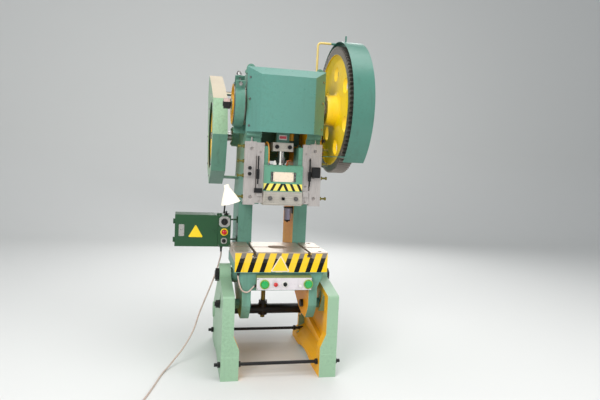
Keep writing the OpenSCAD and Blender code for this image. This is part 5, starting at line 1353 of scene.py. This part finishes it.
@dataclass
class SupplyCable:
    """The cable from the switch box to its plug, with its spare length in a coil."""

    maker: Maker
    diameter: float = 0.012
    gap: float = 0.0002
    gland: tuple[float, float] = (-0.420, 0.115)
    cabinet_z: float = 0.920
    coil: tuple[float, float] = (-1.130, -0.975)
    coil_r: float = 0.066
    turns: int = 3
    steps: int = 16
    plug: tuple[float, float] = (-1.010, -0.985)
    plug_z: float = 0.027
    plug_turn: float = 70.0
    ribs: int = 5
    pins: int = 5
    pin_ring_r: float = 0.013

    @property
    def beside_coil(self) -> float:
        """Gives the reach of a stretch that lies beside a turn of the coil.

        Returns:
            Its distance from the coil's middle.
        """
        return self.coil_r + self.diameter + self.gap

    def laid_points(self) -> list[Vector]:
        """Gives the points from the gland to the coil.

        Returns:
            The points, in order.
        """
        x, y = self.gland
        s = CRANK_AXIS[1]
        low = self.diameter / 2
        down = [Vector(p) for p in (
            (x, y, self.cabinet_z - 0.004),
            (x, y, self.cabinet_z - 0.032),
            (x - 0.004, y - 0.006, self.cabinet_z - 0.110),
            (-0.480, s + 0.250, 0.632),
            (-0.578, s + 0.180, 0.398),
            (-0.631, s + 0.150, 0.240),
            (-0.700, s + 0.100, 0.126),
            (-0.768, s + 0.036, 0.056),
            (-0.812, s - 0.030, 0.022),
            (-0.850, s - 0.110, 0.009),
            (-0.880, s - 0.220, low),
            (-0.908, s - 0.344, low),
            (-0.950, s - 0.510, low),
            (-0.978, s - 0.596, low),
            (-1.030, s - 0.664, low),
        )]
        return down + [self.round_coil(angle, reach, low) for angle, reach in (
            (90.0, 0.104), (112.5, 0.0940), (135.0, 0.0868), (157.5, 0.0818),
            (180.0, self.beside_coil))]

    def round_coil(self, angle: float, reach: float, z: float) -> Vector:
        """Gives a point beside or on the coil.

        Args:
            angle: Its bearing in degrees, counter-clockwise from +X.
            reach: Its distance from the coil's middle.
            z: Its height.

        Returns:
            The point.
        """
        a = math.radians(angle)
        return Vector((self.coil[0] + reach * math.cos(a), self.coil[1] + reach * math.sin(a), z))

    def coil_points(self) -> list[Vector]:
        """Gives the points of the coil's turns.

        Returns:
            The points, in order, from beside the lowest turn to beside the highest.
        """
        points = []
        lead = self.steps // 4
        low = self.diameter / 2
        total = self.turns * self.steps
        for k in range(1, lead + 1):
            reach = self.beside_coil + (self.coil_r - self.beside_coil) * k / lead
            points.append(self.round_coil(180.0 + 360.0 * k / self.steps, reach, low))
        for k in range(1, total + 1):
            out = max(0.0, (k - total + lead) / lead) * self.diameter
            points.append(self.round_coil(270.0 + 360.0 * k / self.steps, self.coil_r + out,
                                          low + self.diameter * k / self.steps))
        return points

    def plug_points(self) -> list[Vector]:
        """Gives the points from the coil to the plug.

        Returns:
            The points, in order.
        """
        px, py = self.plug
        return [Vector(p) for p in (
            (px - 0.094, py - 0.0682, 0.040),
            (px - 0.0639, py - 0.0634, 0.037),
            (px - 0.0366, py - 0.0499, 0.032),
            (px - 0.0147, py - 0.0289, 0.028),
            (px + 0.001, py + 0.003, self.plug_z),
        )]

    def build(self) -> None:
        points = self.laid_points() + self.coil_points() + self.plug_points()
        line = smooth_line(points, 6)
        mesh = bmesh.new()
        tube(mesh, line, self.diameter / 2, 14)
        cable = self.maker.piece("supply_cable_laid", mesh, "cable", "frame", 60.0)
        self.relief()
        plug = self.plug_piece()
        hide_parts("supply_cable", "cable_coil")
        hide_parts("cable_plug")

    def relief(self) -> None:
        """Makes the ribbed sleeve that keeps the cable from bending in its gland."""
        inner = self.diameter / 2 - 0.0005
        ribs = [(0.0017, -0.060), (0.0025, -0.050), (0.0019, -0.048), (0.0035, -0.040),
                (0.0027, -0.038), (0.0043, -0.030), (0.0057, -0.0243)]
        sleeve = [(inner, -0.060)] + [(inner + out, height) for out, height in ribs]
        with self.maker.making("cable_relief", "black_plastic", "frame") as mesh:
            lathe(mesh, sleeve + [(inner, -0.0243), (inner, -0.060)],
                  (*self.gland, self.cabinet_z), UP)

    def plug_piece(self) -> bpy.types.Object:
        """Makes the plug with its ribbed neck, collar and pins.

        Returns:
            The plug.
        """
        mesh = bmesh.new()
        a = math.radians(self.plug_turn)
        way = (math.cos(a), math.sin(a), 0.0)
        foot = (*self.plug, self.plug_z)
        neck = [(0.0, 0.0)]
        for k in range(self.ribs):
            neck += [(0.0085 + 0.0006 * k, 0.001 + 0.008 * k),
                     (0.0112 + 0.0002 * k, 0.003 + 0.008 * k),
                     (0.0112 + 0.0002 * k, 0.006 + 0.008 * k)]
        lathe(mesh, neck + [(0.0120, 0.044), (0.0205, 0.047), (0.0230, 0.056), (0.0230, 0.104),
                            (0.0268, 0.105), (0.0268, 0.112), (0.0240, 0.113),
                            (0.0240, 0.1395), (0.0212, 0.1395), (0.0212, 0.1130),
                            (0.0, 0.1130)], foot, way, 48)
        base = Vector(foot) + Vector(way) * 0.1128
        across = Vector((-math.sin(a), math.cos(a), 0.0))
        for cosine, sine in round_steps(self.pins):
            middle = base + self.pin_ring_r * (across * cosine + Vector(UP) * sine)
            lathe(mesh, [(0.0, 0.0), (0.0028, 0.0), (0.0028, 0.018), (0.0018, 0.0205),
                         (0.0, 0.021)], tuple(middle), way, 14)
        return self.maker.piece("cable_plug_body", mesh, "black_plastic", "frame")


@dataclass
class PanelLead:
    """The short lead that hangs from the table to the two-hand panel."""

    maker: Maker
    radius: float = 0.0055
    table_side: Point = (-0.326, -0.407, 0.796)
    panel_side: Point = (-0.184, -0.413, 0.696)
    in_panel: float = 0.006

    def build(self) -> None:
        """Makes the lead and its two glands."""
        root, end = Vector(self.table_side), Vector(self.panel_side)
        points = [root + Vector((0.0, 0.0, -0.0003)), root + Vector((0.0, 0.0, -0.040)),
                  root + Vector((0.026, -0.004, -0.128)), Vector((-0.252, end.y, 0.648)),
                  end + Vector((-0.020, 0.0, -0.004)), end]
        line = smooth_line(points, 8)
        mesh = bmesh.new()
        tube(mesh, line, self.radius, 14)
        lead = self.maker.piece("panel_lead_hose", mesh, "cable", "frame", 60.0)
        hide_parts("panel_lead")
        with self.maker.making("lead_glands", "black_plastic", "frame") as mesh:
            lathe(mesh, [(0.0058, -0.024), (0.0085, -0.022), (0.0105, -0.012),
                         (0.0125, -0.012), (0.0125, -0.0003), (0.0058, -0.0003),
                         (0.0058, -0.024)], self.table_side, UP, 24)
            lathe(mesh, [(0.0058, 0.0003), (0.0115, 0.0003), (0.0115, 0.006),
                         (0.0095, 0.006), (0.0080, 0.014), (0.0058, 0.014),
                         (0.0058, 0.0003)], (end.x - self.in_panel, end.y, end.z),
                  (-1.0, 0.0, -0.06), 24)


# Screws by geometry nodes


class FastenerTree:
    """A geometry node tree that sets a head on every face of a mesh."""

    washer_shares = (1.28, 1.22, 0.22)

    def __init__(self) -> None:
        """Builds the tree."""
        self.tree = bpy.data.node_groups.new("fastener_heads", "GeometryNodeTree")
        open_socket(self.tree, "Geometry", Kind.SHAPE)
        self.ids = {title: open_socket(self.tree, title, kind).identifier for title, kind in (
            ("Radius", Kind.NUMBER), ("Height", Kind.NUMBER), ("Sides", Kind.COUNT),
            ("Taper", Kind.NUMBER), ("Finish", Kind.FINISH))}
        open_socket(self.tree, "Geometry", Kind.SHAPE, "OUTPUT")
        graph = Graph(self.tree)
        ins = graph.add("NodeGroupInput")
        outs = graph.add("NodeGroupOutput")
        head = self.head(graph, ins)
        facing = graph.add("GeometryNodeInputNormal")
        turned = graph.add("FunctionNodeAlignRotationToVector", axis="Z")
        graph.feed(turned.inputs["Vector"], facing.outputs[0])
        keep = graph.add("GeometryNodeCaptureAttribute", domain="FACE")
        keep.capture_items.new("ROTATION", "turn")
        graph.feed(keep.inputs["Geometry"], ins.outputs["Geometry"])
        graph.feed(keep.inputs["turn"], turned.outputs[0])
        spots = graph.add("GeometryNodeMeshToPoints", mode="FACES")
        graph.feed(spots.inputs["Mesh"], keep.outputs["Geometry"])
        spread = graph.add("GeometryNodeInstanceOnPoints")
        graph.feed(spread.inputs["Points"], spots.outputs[0])
        graph.feed(spread.inputs["Instance"], head)
        graph.feed(spread.inputs["Rotation"], keep.outputs["turn"])
        real = graph.add("GeometryNodeRealizeInstances")
        graph.feed(real.inputs[0], spread.outputs[0])
        paint = graph.add("GeometryNodeSetMaterial")
        graph.feed(paint.inputs["Geometry"], real.outputs[0])
        graph.feed(paint.inputs["Material"], ins.outputs["Finish"])
        graph.feed(outs.inputs[0], paint.outputs[0])

    def head(self, graph: Graph, ins: Node) -> Socket:
        """Builds one head: a short cone frustum on a thin washer.

        Args:
            graph: The tree.
            ins: Its input node.

        Returns:
            The socket of the head's geometry.
        """
        radius, height = ins.outputs["Radius"], ins.outputs["Height"]
        cone = graph.add("GeometryNodeMeshCone")
        graph.feed(cone.inputs["Vertices"], ins.outputs["Sides"])
        graph.feed(cone.inputs["Radius Bottom"], radius)
        graph.feed(cone.inputs["Radius Top"],
                   graph.math("MULTIPLY", radius, ins.outputs["Taper"]))
        graph.feed(cone.inputs["Depth"], height)
        washer = graph.add("GeometryNodeMeshCone")
        washer.inputs["Vertices"].default_value = HeadShape.ROUND.value
        for title, size, share in zip(("Radius Bottom", "Radius Top", "Depth"),
                                      (radius, radius, height), self.washer_shares):
            graph.feed(washer.inputs[title], graph.math("MULTIPLY", size, share))
        both = graph.add("GeometryNodeJoinGeometry")
        graph.feed(both.inputs[0], cone.outputs["Mesh"])
        graph.feed(both.inputs[0], washer.outputs["Mesh"])
        return both.outputs[0]


@dataclass(frozen=True)
class Head:
    """Size and shape of a screw's head; its top is the tapered share of its foot."""

    radius: float
    height: float
    shape: HeadShape
    taper: float


PLATE_SCREW = Head(0.0030, 0.0020, HeadShape.ROUND, 0.7)
PANEL_SCREW = Head(0.0034, 0.0024, HeadShape.ROUND, 0.7)
GUARD_SCREW = Head(0.0085, 0.0055, HeadShape.HEXAGON, 0.9)


@dataclass
class Fasteners:
    """Sets rows of screw heads where they are asked for."""

    paints: Paintshop
    tree: FastenerTree
    finish: str = "turned"
    seed_r: float = 0.0005

    def row(self, name: str, body: str, head: Head, places: Sequence[Point],
            facing: Point = FORWARD) -> None:
        """Makes a row of heads.

        Args:
            name: Name of the piece.
            body: The body that it rides on.
            head: Size and shape of each.
            places: Middle of each head's foot.
            facing: The way that they stand up.
        """
        seeds = bmesh.new()
        for place in places:
            seeds.faces.new([seeds.verts.new(placed(place, facing) @ Vector((
                self.seed_r * cosine, self.seed_r * sine, 0.0)))
                for cosine, sine in round_steps(3)])
        seed = linked(name + "_seeds", mesh_data(name + "_seeds", seeds))
        modifier = seed.modifiers.new("heads", "NODES")
        modifier.node_group = self.tree.tree
        for title, value in (("Radius", head.radius), ("Height", head.height),
                             ("Sides", head.shape.value), ("Taper", head.taper),
                             ("Finish", self.paints.get(self.finish))):
            modifier[self.tree.ids[title]] = value
        graph = bpy.context.evaluated_depsgraph_get()
        heads = bpy.data.meshes.new_from_object(seed.evaluated_get(graph))
        bpy.data.objects.remove(seed)
        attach(linked(name, heads), body)
        log.info("%s: %d heads", name, len(places))


# Sub-assemblies


@dataclass
class SlideDress:
    """The slide's front plate with its scale, and the oil fittings on its front wall."""

    maker: Maker
    fasteners: Fasteners
    front: float = -0.325
    plate_z: float = 1.516
    plate_high: float = 0.074
    slot_x: float = 0.0895
    ticks: int = 9
    tick_step: float = 0.007
    wall_y: float = -0.3125
    wall_top: float = 1.606
    rod_x: float = -0.027
    nipple_x: float = -0.068
    elbow_x: float = 0.026

    def build(self) -> None:
        """Makes the front plate and the oil fittings."""
        self.front_plate()
        self.oil_rod()
        self.oil_hose()
        self.copper_elbow()

    def front_plate(self) -> None:
        """Makes the plate between two black plates painted as the shade in two slots, the ticks
        on them and the screws.
        """
        with self.maker.making("slide_plate", "plate_cream", "slide") as mesh:
            plate(mesh, (0.0, self.front, self.plate_z), (0.158, self.plate_high, 0.0025),
                  0.003, 0.0006)
        # Black plates at the plate's ends: painted shade where two slots open into the slide.
        with self.maker.making("slide_slot_shade", "black", "slide") as mesh:
            for x in (-self.slot_x, self.slot_x):
                plate(mesh, (x, self.front, self.plate_z), (0.017, self.plate_high, 0.0008),
                      0.002, 0.0003)
        with self.maker.making("slide_scale", "white_plastic", "slide") as mesh:
            for x in (-self.slot_x, self.slot_x):
                for k in range(self.ticks):
                    length = 0.011 if k % 4 == 0 else 0.006
                    z = self.plate_z + self.tick_step * (k - self.ticks // 2)
                    plate(mesh, (x, self.front - 0.0007, z), (length, 0.0018, 0.0006),
                          0.0005, 0.0002)
        self.fasteners.row("slide_plate_screws", "slide", PLATE_SCREW, [
            (x, self.front - 0.0024, self.plate_z + z)
            for x in (-0.073, 0.073) for z in (-0.031, 0.031)])

    def oil_rod(self) -> None:
        """Makes the white rod in its nut and the capped nipple beside it."""
        rod = (self.rod_x, self.wall_y, self.wall_top)
        nipple = (self.nipple_x, self.wall_y, self.wall_top)
        with self.maker.making("oil_rod", "white_plastic", "slide") as mesh:
            lathe(mesh, [(0.0, 0.0), (0.0062, 0.0), (0.0062, 0.098), (0.0050, 0.104),
                         (0.0, 0.106)], rod, UP, 20)
            hexagon(mesh, rod, UP, 0.020, 0.016)
            hexagon(mesh, nipple, UP, 0.022, 0.018)
            lathe(mesh, [(0.0, 0.017), (0.0070, 0.017), (0.0070, 0.032), (0.0, 0.034)],
                  nipple, UP, 20)

    def oil_hose(self) -> None:
        """Makes the bent hose from the side arm to the front wall."""
        points = [Vector(p) for p in (
            (-0.134, -0.240, 1.745), (-0.134, -0.242, 1.762), (-0.130, -0.262, 1.776),
            (-0.124, -0.290, 1.768), (-0.118, -0.306, 1.735), (-0.116, self.wall_y, 1.690),
            (-0.115, self.wall_y, 1.640), (-0.115, self.wall_y, 1.6062))]
        with self.maker.making("oil_hose", "hose_orange", "slide", 60.0) as mesh:
            tube(mesh, smooth_line(points, 6), 0.0048, 14)
        with self.maker.making("hose_nuts", "turned", "slide") as mesh:
            hexagon(mesh, (-0.134, -0.240, 1.7452), UP, 0.016, 0.012)
            hexagon(mesh, (-0.115, self.wall_y, 1.6062), UP, 0.016, 0.014)

    def copper_elbow(self) -> None:
        """Makes the copper elbow and its nuts."""
        base = Vector((self.elbow_x, self.wall_y, self.wall_top))
        points = [base + Vector(step) for step in (
            (0.0, 0.0, 0.0), (0.0, 0.0, 0.018), (0.002, 0.0, 0.030), (0.010, 0.0, 0.036),
            (0.024, 0.0, 0.036))]
        with self.maker.making("copper_elbow", "copper", "slide", 50.0) as mesh:
            tube(mesh, smooth_line(points, 5), 0.0055, 14)
            hexagon(mesh, tuple(base), UP, 0.019, 0.011)
            hexagon(mesh, tuple(base + Vector((0.016, 0.0, 0.036))), RIGHT, 0.017, 0.010)


@dataclass
class RodDress:
    """Bare plate, clamp bolts and oil cup of the connecting rod."""

    maker: Maker
    plate_z: float = 1.819
    bolt_x: float = 0.050
    bolt_face: float = -0.2687
    bolt_z: float = 1.7450
    cup: Point = (0.0735, -0.205, 1.797)

    def build(self) -> None:
        """Makes the plate and its face, the socket-head bolts and the cup on its bracket."""
        with self.maker.making("rod_plate", "white_plastic", "rod") as mesh:
            plate(mesh, (0.0, -0.2372, self.plate_z), (0.064, 0.038, 0.0014), 0.003, 0.0005)
        with self.maker.making("rod_plate_face", "plate_rose", "rod") as mesh:
            plate(mesh, (0.0, -0.2385, self.plate_z), (0.054, 0.020, 0.0008), 0.002, 0.0003)
        with self.maker.making("clamp_bolts", "black", "rod") as mesh:
            for x in (-self.bolt_x, self.bolt_x):
                lathe(mesh, [(0.0, 0.0), (0.0160, 0.0), (0.0160, 0.0110), (0.0150, 0.0122),
                             (0.0098, 0.0122), (0.0092, 0.0060), (0.0, 0.0060)],
                      (x, self.bolt_face, self.bolt_z), FORWARD)
        with self.maker.making("oil_cup", "trip", "rod") as mesh:
            lathe(mesh, [(0.0, 0.0), (0.0200, 0.0), (0.0200, 0.004), (0.0170, 0.006),
                         (0.0170, 0.044), (0.0205, 0.046), (0.0205, 0.052), (0.0120, 0.058),
                         (0.0, 0.059)], self.cup, UP, 28)
            plate(mesh, (self.cup[0] - 0.023, self.cup[1], self.cup[2] + 0.015),
                  (0.020, 0.022, 0.010), 0.003, 0.001, RIGHT)


@dataclass
class GuideDress:
    """Stop box, bracket bolts and rails on the two gib plates."""

    maker: Maker
    face: float = -0.325
    seat: float = -0.3252
    box: tuple[float, float] = (0.249, 1.560)
    foot: tuple[float, float] = (-0.192, 1.408)
    rails: Sequence[tuple[float, float, float]] = ((-0.196, 1.455, 1.668),
                                                   (0.205, 1.450, 1.662))

    def build(self) -> None:
        """Makes the stop box, the bracket bolts, and the rails with the foot block."""
        x, z = self.box
        with self.maker.making("stop_box", "black", "frame") as mesh:
            plate(mesh, (x, self.face + 0.001, z), (0.062, 0.082, 0.036), 0.006, 0.002)
            plate(mesh, (x, self.face - 0.034, z), (0.040, 0.050, 0.004), 0.004, 0.0012)
        with self.maker.making("bracket_bolts", "black", "frame") as mesh:
            for z in (1.532, 1.576):
                hexagon(mesh, (-0.260, -0.3248, z), FORWARD, 0.027, 0.018)
        with self.maker.making("guide_rails", "black", "frame") as mesh:
            for x, low, high in self.rails:
                self.rail(mesh, x, low, high)
            plate(mesh, (self.foot[0], self.seat, self.foot[1]), (0.062, 0.036, 0.012),
                  0.004, 0.0015)

    def rail(self, mesh: Mesh, x: float, low: float, high: float) -> None:
        """Adds one rail with the block that holds it and the block's nut.

        Args:
            mesh: The mesh to add to.
            x: Middle of the rail.
            low: Its lower end.
            high: Its upper end.
        """
        middle = (low + high) / 2
        block_x, block_z = x - 0.002, middle - 0.030
        plate(mesh, (x, self.seat, middle), (0.0105, high - low, 0.006), 0.003, 0.001)
        plate(mesh, (block_x, self.seat, block_z), (0.024, 0.074, 0.010), 0.004, 0.0015)
        hexagon(mesh, (block_x, self.seat - 0.0098, block_z), FORWARD, 0.014, 0.008)


@dataclass
class TableDress:
    """Bare triangular sign on the table's front."""

    maker: Maker
    place: Point = (-0.012, -0.421, 0.846)

    def build(self) -> None:
        """Makes the pale border and the yellow face on it."""
        x, front, z = self.place
        with self.maker.making("table_plate", "plate_cream", "frame") as mesh:
            three_sided(mesh, (x, front, z), 0.150, 0.008, 0.0014)
        with self.maker.making("table_triangle", "plate_yellow", "frame") as mesh:
            three_sided(mesh, (x, front - 0.0013, z), 0.124, 0.006, 0.0009)


@dataclass
class PanelDress:
    """Rings, selector disc, indicator lamp and screws of the two-hand panel."""

    maker: Maker
    fasteners: Fasteners
    front: float = -0.447
    button_z: float = 0.714
    starts: tuple[float, float] = (-0.130, 0.204)
    selector_x: float = 0.026
    lamp: tuple[float, float] = (0.142, 0.700)

    def build(self) -> None:
        """Makes the start buttons' rings, the disc with the lamp, and the screws."""
        with self.maker.making("start_rings", "ring_green", "frame") as mesh:
            for x in self.starts:
                lathe(mesh, [(0.0302, 0.0035), (0.0356, 0.0035), (0.0356, 0.0070),
                             (0.0338, 0.0092), (0.0318, 0.0092), (0.0302, 0.0070),
                             (0.0302, 0.0035)], (x, self.front, self.button_z), FORWARD, 48)
        with self.maker.making("panel_trim", "white_plastic", "frame") as mesh:
            lathe(mesh, [(0.0156, 0.0018), (0.0236, 0.0018), (0.0236, 0.0030),
                         (0.0226, 0.0036), (0.0156, 0.0036), (0.0156, 0.0018)],
                  (self.selector_x, self.front, self.button_z), FORWARD, 40)
            lathe(mesh, [(0.0, 0.0098), (0.0124, 0.0), (0.0124, 0.0085), (0.0090, 0.0118),
                         (0.0, 0.0132)], (self.lamp[0], self.front, self.lamp[1]), FORWARD)
        self.fasteners.row("panel_screws", "frame", PANEL_SCREW, [
            (x, self.front, z) for x in (-0.181, 0.231) for z in (0.679, 0.751)])


@dataclass
class CabinetDress:
    """Bare plates on the electrical cabinet's door."""

    maker: Maker
    face: float = -0.001

    def build(self) -> None:
        """Makes the narrow plate and the triangular sign."""
        with self.maker.making("narrow_plate", "plate_silver", "door") as mesh:
            plate(mesh, (-0.7475, self.face, 1.050), (0.043, 0.094, 0.0015), 0.003, 0.0004)
        with self.maker.making("door_triangle", "plate_yellow", "door") as mesh:
            three_sided(mesh, (-0.636, self.face, 1.030), 0.118, 0.006, 0.0015)


@dataclass
class SwitchDress:
    """Plates and ring behind the cabinet's switches, and the screws of their box."""

    maker: Maker
    fasteners: Fasteners
    face: float = -0.001
    x: float = -0.408

    def build(self) -> None:
        """Makes the two switches' plates, the stop button's ring and the screws."""
        with self.maker.making("switch_plates", "plate_silver", "frame") as mesh:
            escutcheon(mesh, (self.x, self.face, 1.124), 0.088, 0.0272, 0.0014)
            escutcheon(mesh, (self.x, self.face, 0.968), 0.048, 0.0162, 0.0012)
        with self.maker.making("stop_ring", "plate_yellow", "frame") as mesh:
            lathe(mesh, [(0.0215, 0.0002), (0.0300, 0.0002), (0.0300, 0.0016),
                         (0.0290, 0.0022), (0.0215, 0.0022), (0.0215, 0.0002)],
                  (self.x, self.face, 1.040), FORWARD, 40)
        self.fasteners.row("switch_box_screws", "frame", PANEL_SCREW, [
            (self.x + out, self.face, z) for out in (-0.043, 0.043) for z in (0.932, 1.178)])


@dataclass
class GuardDress:
    """Screws round the flywheel guard, and the cam switch's label and lid."""

    maker: Maker
    fasteners: Fasteners
    side_x: float = -0.530
    ring_r: float = 0.345
    screws: int = 8

    def build(self) -> None:
        """Makes the ring of screws and the switch's plates."""
        _, y, z = PINION_AXIS
        self.fasteners.row("guard_screws", "frame", GUARD_SCREW, [
            (self.side_x, y + self.ring_r * cosine, z + self.ring_r * sine)
            for cosine, sine in round_steps(self.screws)], LEFT)
        # Pale pink label in front and pale pink lid on top; on the lid the pink is a painted
        # reflection of the roof light on the black switch.
        with self.maker.making("cam_switch_lid", "plate_pale_pink", "frame") as mesh:
            plate(mesh, (-0.4405, -0.219, 2.0780), (0.048, 0.024, 0.0015), 0.003, 0.0004)
            plate(mesh, (-0.4405, -0.185, 2.0910), (0.046, 0.062, 0.0015), 0.004, 0.0004, UP)


@dataclass
class Lubricator:
    """The oiler bowl on the inner face of the right side wall."""

    maker: Maker
    wall: float = 0.175
    foot: Point = (0.132, 0.120, 1.140)

    def build(self) -> None:
        """Makes the bowl, then its dark base and its bracket."""
        x, y, z = self.foot
        with self.maker.making("oiler_bowl", "plate_lavender", "frame") as mesh:
            lathe(mesh, [(0.0, 0.0), (0.0250, 0.0), (0.0275, 0.004), (0.0275, 0.078),
                         (0.0310, 0.080), (0.0310, 0.096), (0.0240, 0.100), (0.0, 0.100)],
                  self.foot, UP, 40)
        with self.maker.making("oiler_bracket", "black", "frame") as mesh:
            lathe(mesh, [(0.0, -0.022), (0.0080, -0.022), (0.0080, -0.014), (0.0240, -0.012),
                         (0.0262, -0.006), (0.0262, 0.0), (0.0, 0.0)], self.foot, UP, 40)
            plate(mesh, (self.wall, y, z + 0.082), (0.050, 0.060, 0.008), 0.006, 0.0012, LEFT)
            plate(mesh, (x, y, z + 0.0995), (0.066, 0.044, 0.010), 0.006, 0.0012, UP)
            plate(mesh, (self.wall - 0.006, y, z + 0.1045), (0.040, 0.010, 0.012), 0.003,
                  0.0008, LEFT)


class Press:
    """All that dresses the press, in the order in which it is built."""

    def __init__(self, paints: Paintshop) -> None:
        """Sets up the helpers.

        Args:
            paints: Where the finishes come from.
        """
        maker = Maker(paints)
        fasteners = Fasteners(paints, FastenerTree())
        self.cords = (SupplyCable(maker), PanelLead(maker))
        self.parts = (
            SlideDress(maker, fasteners), RodDress(maker), GuideDress(maker),
            TableDress(maker), PanelDress(maker, fasteners),
            CabinetDress(maker), SwitchDress(maker, fasteners),
            GuardDress(maker, fasteners), Lubricator(maker),
        )

    def build(self) -> None:
        """Builds the cords first, then the rest."""
        for part in self.cords + self.parts:
            part.build()
            log.info("built %s", type(part).__name__)


def main() -> None:
    """Loads the frame, sets the studio up and dresses the press."""
    logging.basicConfig(level=logging.INFO, format="%(name)s: %(message)s")
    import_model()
    bpy.context.scene.view_settings.view_transform = "Standard"
    PhotoCamera().build()
    Studio().build()
    paints = Paintshop(Effects())
    paints.dress_nodes()
    Press(paints).build()


if __name__ == "__main__":
    main()
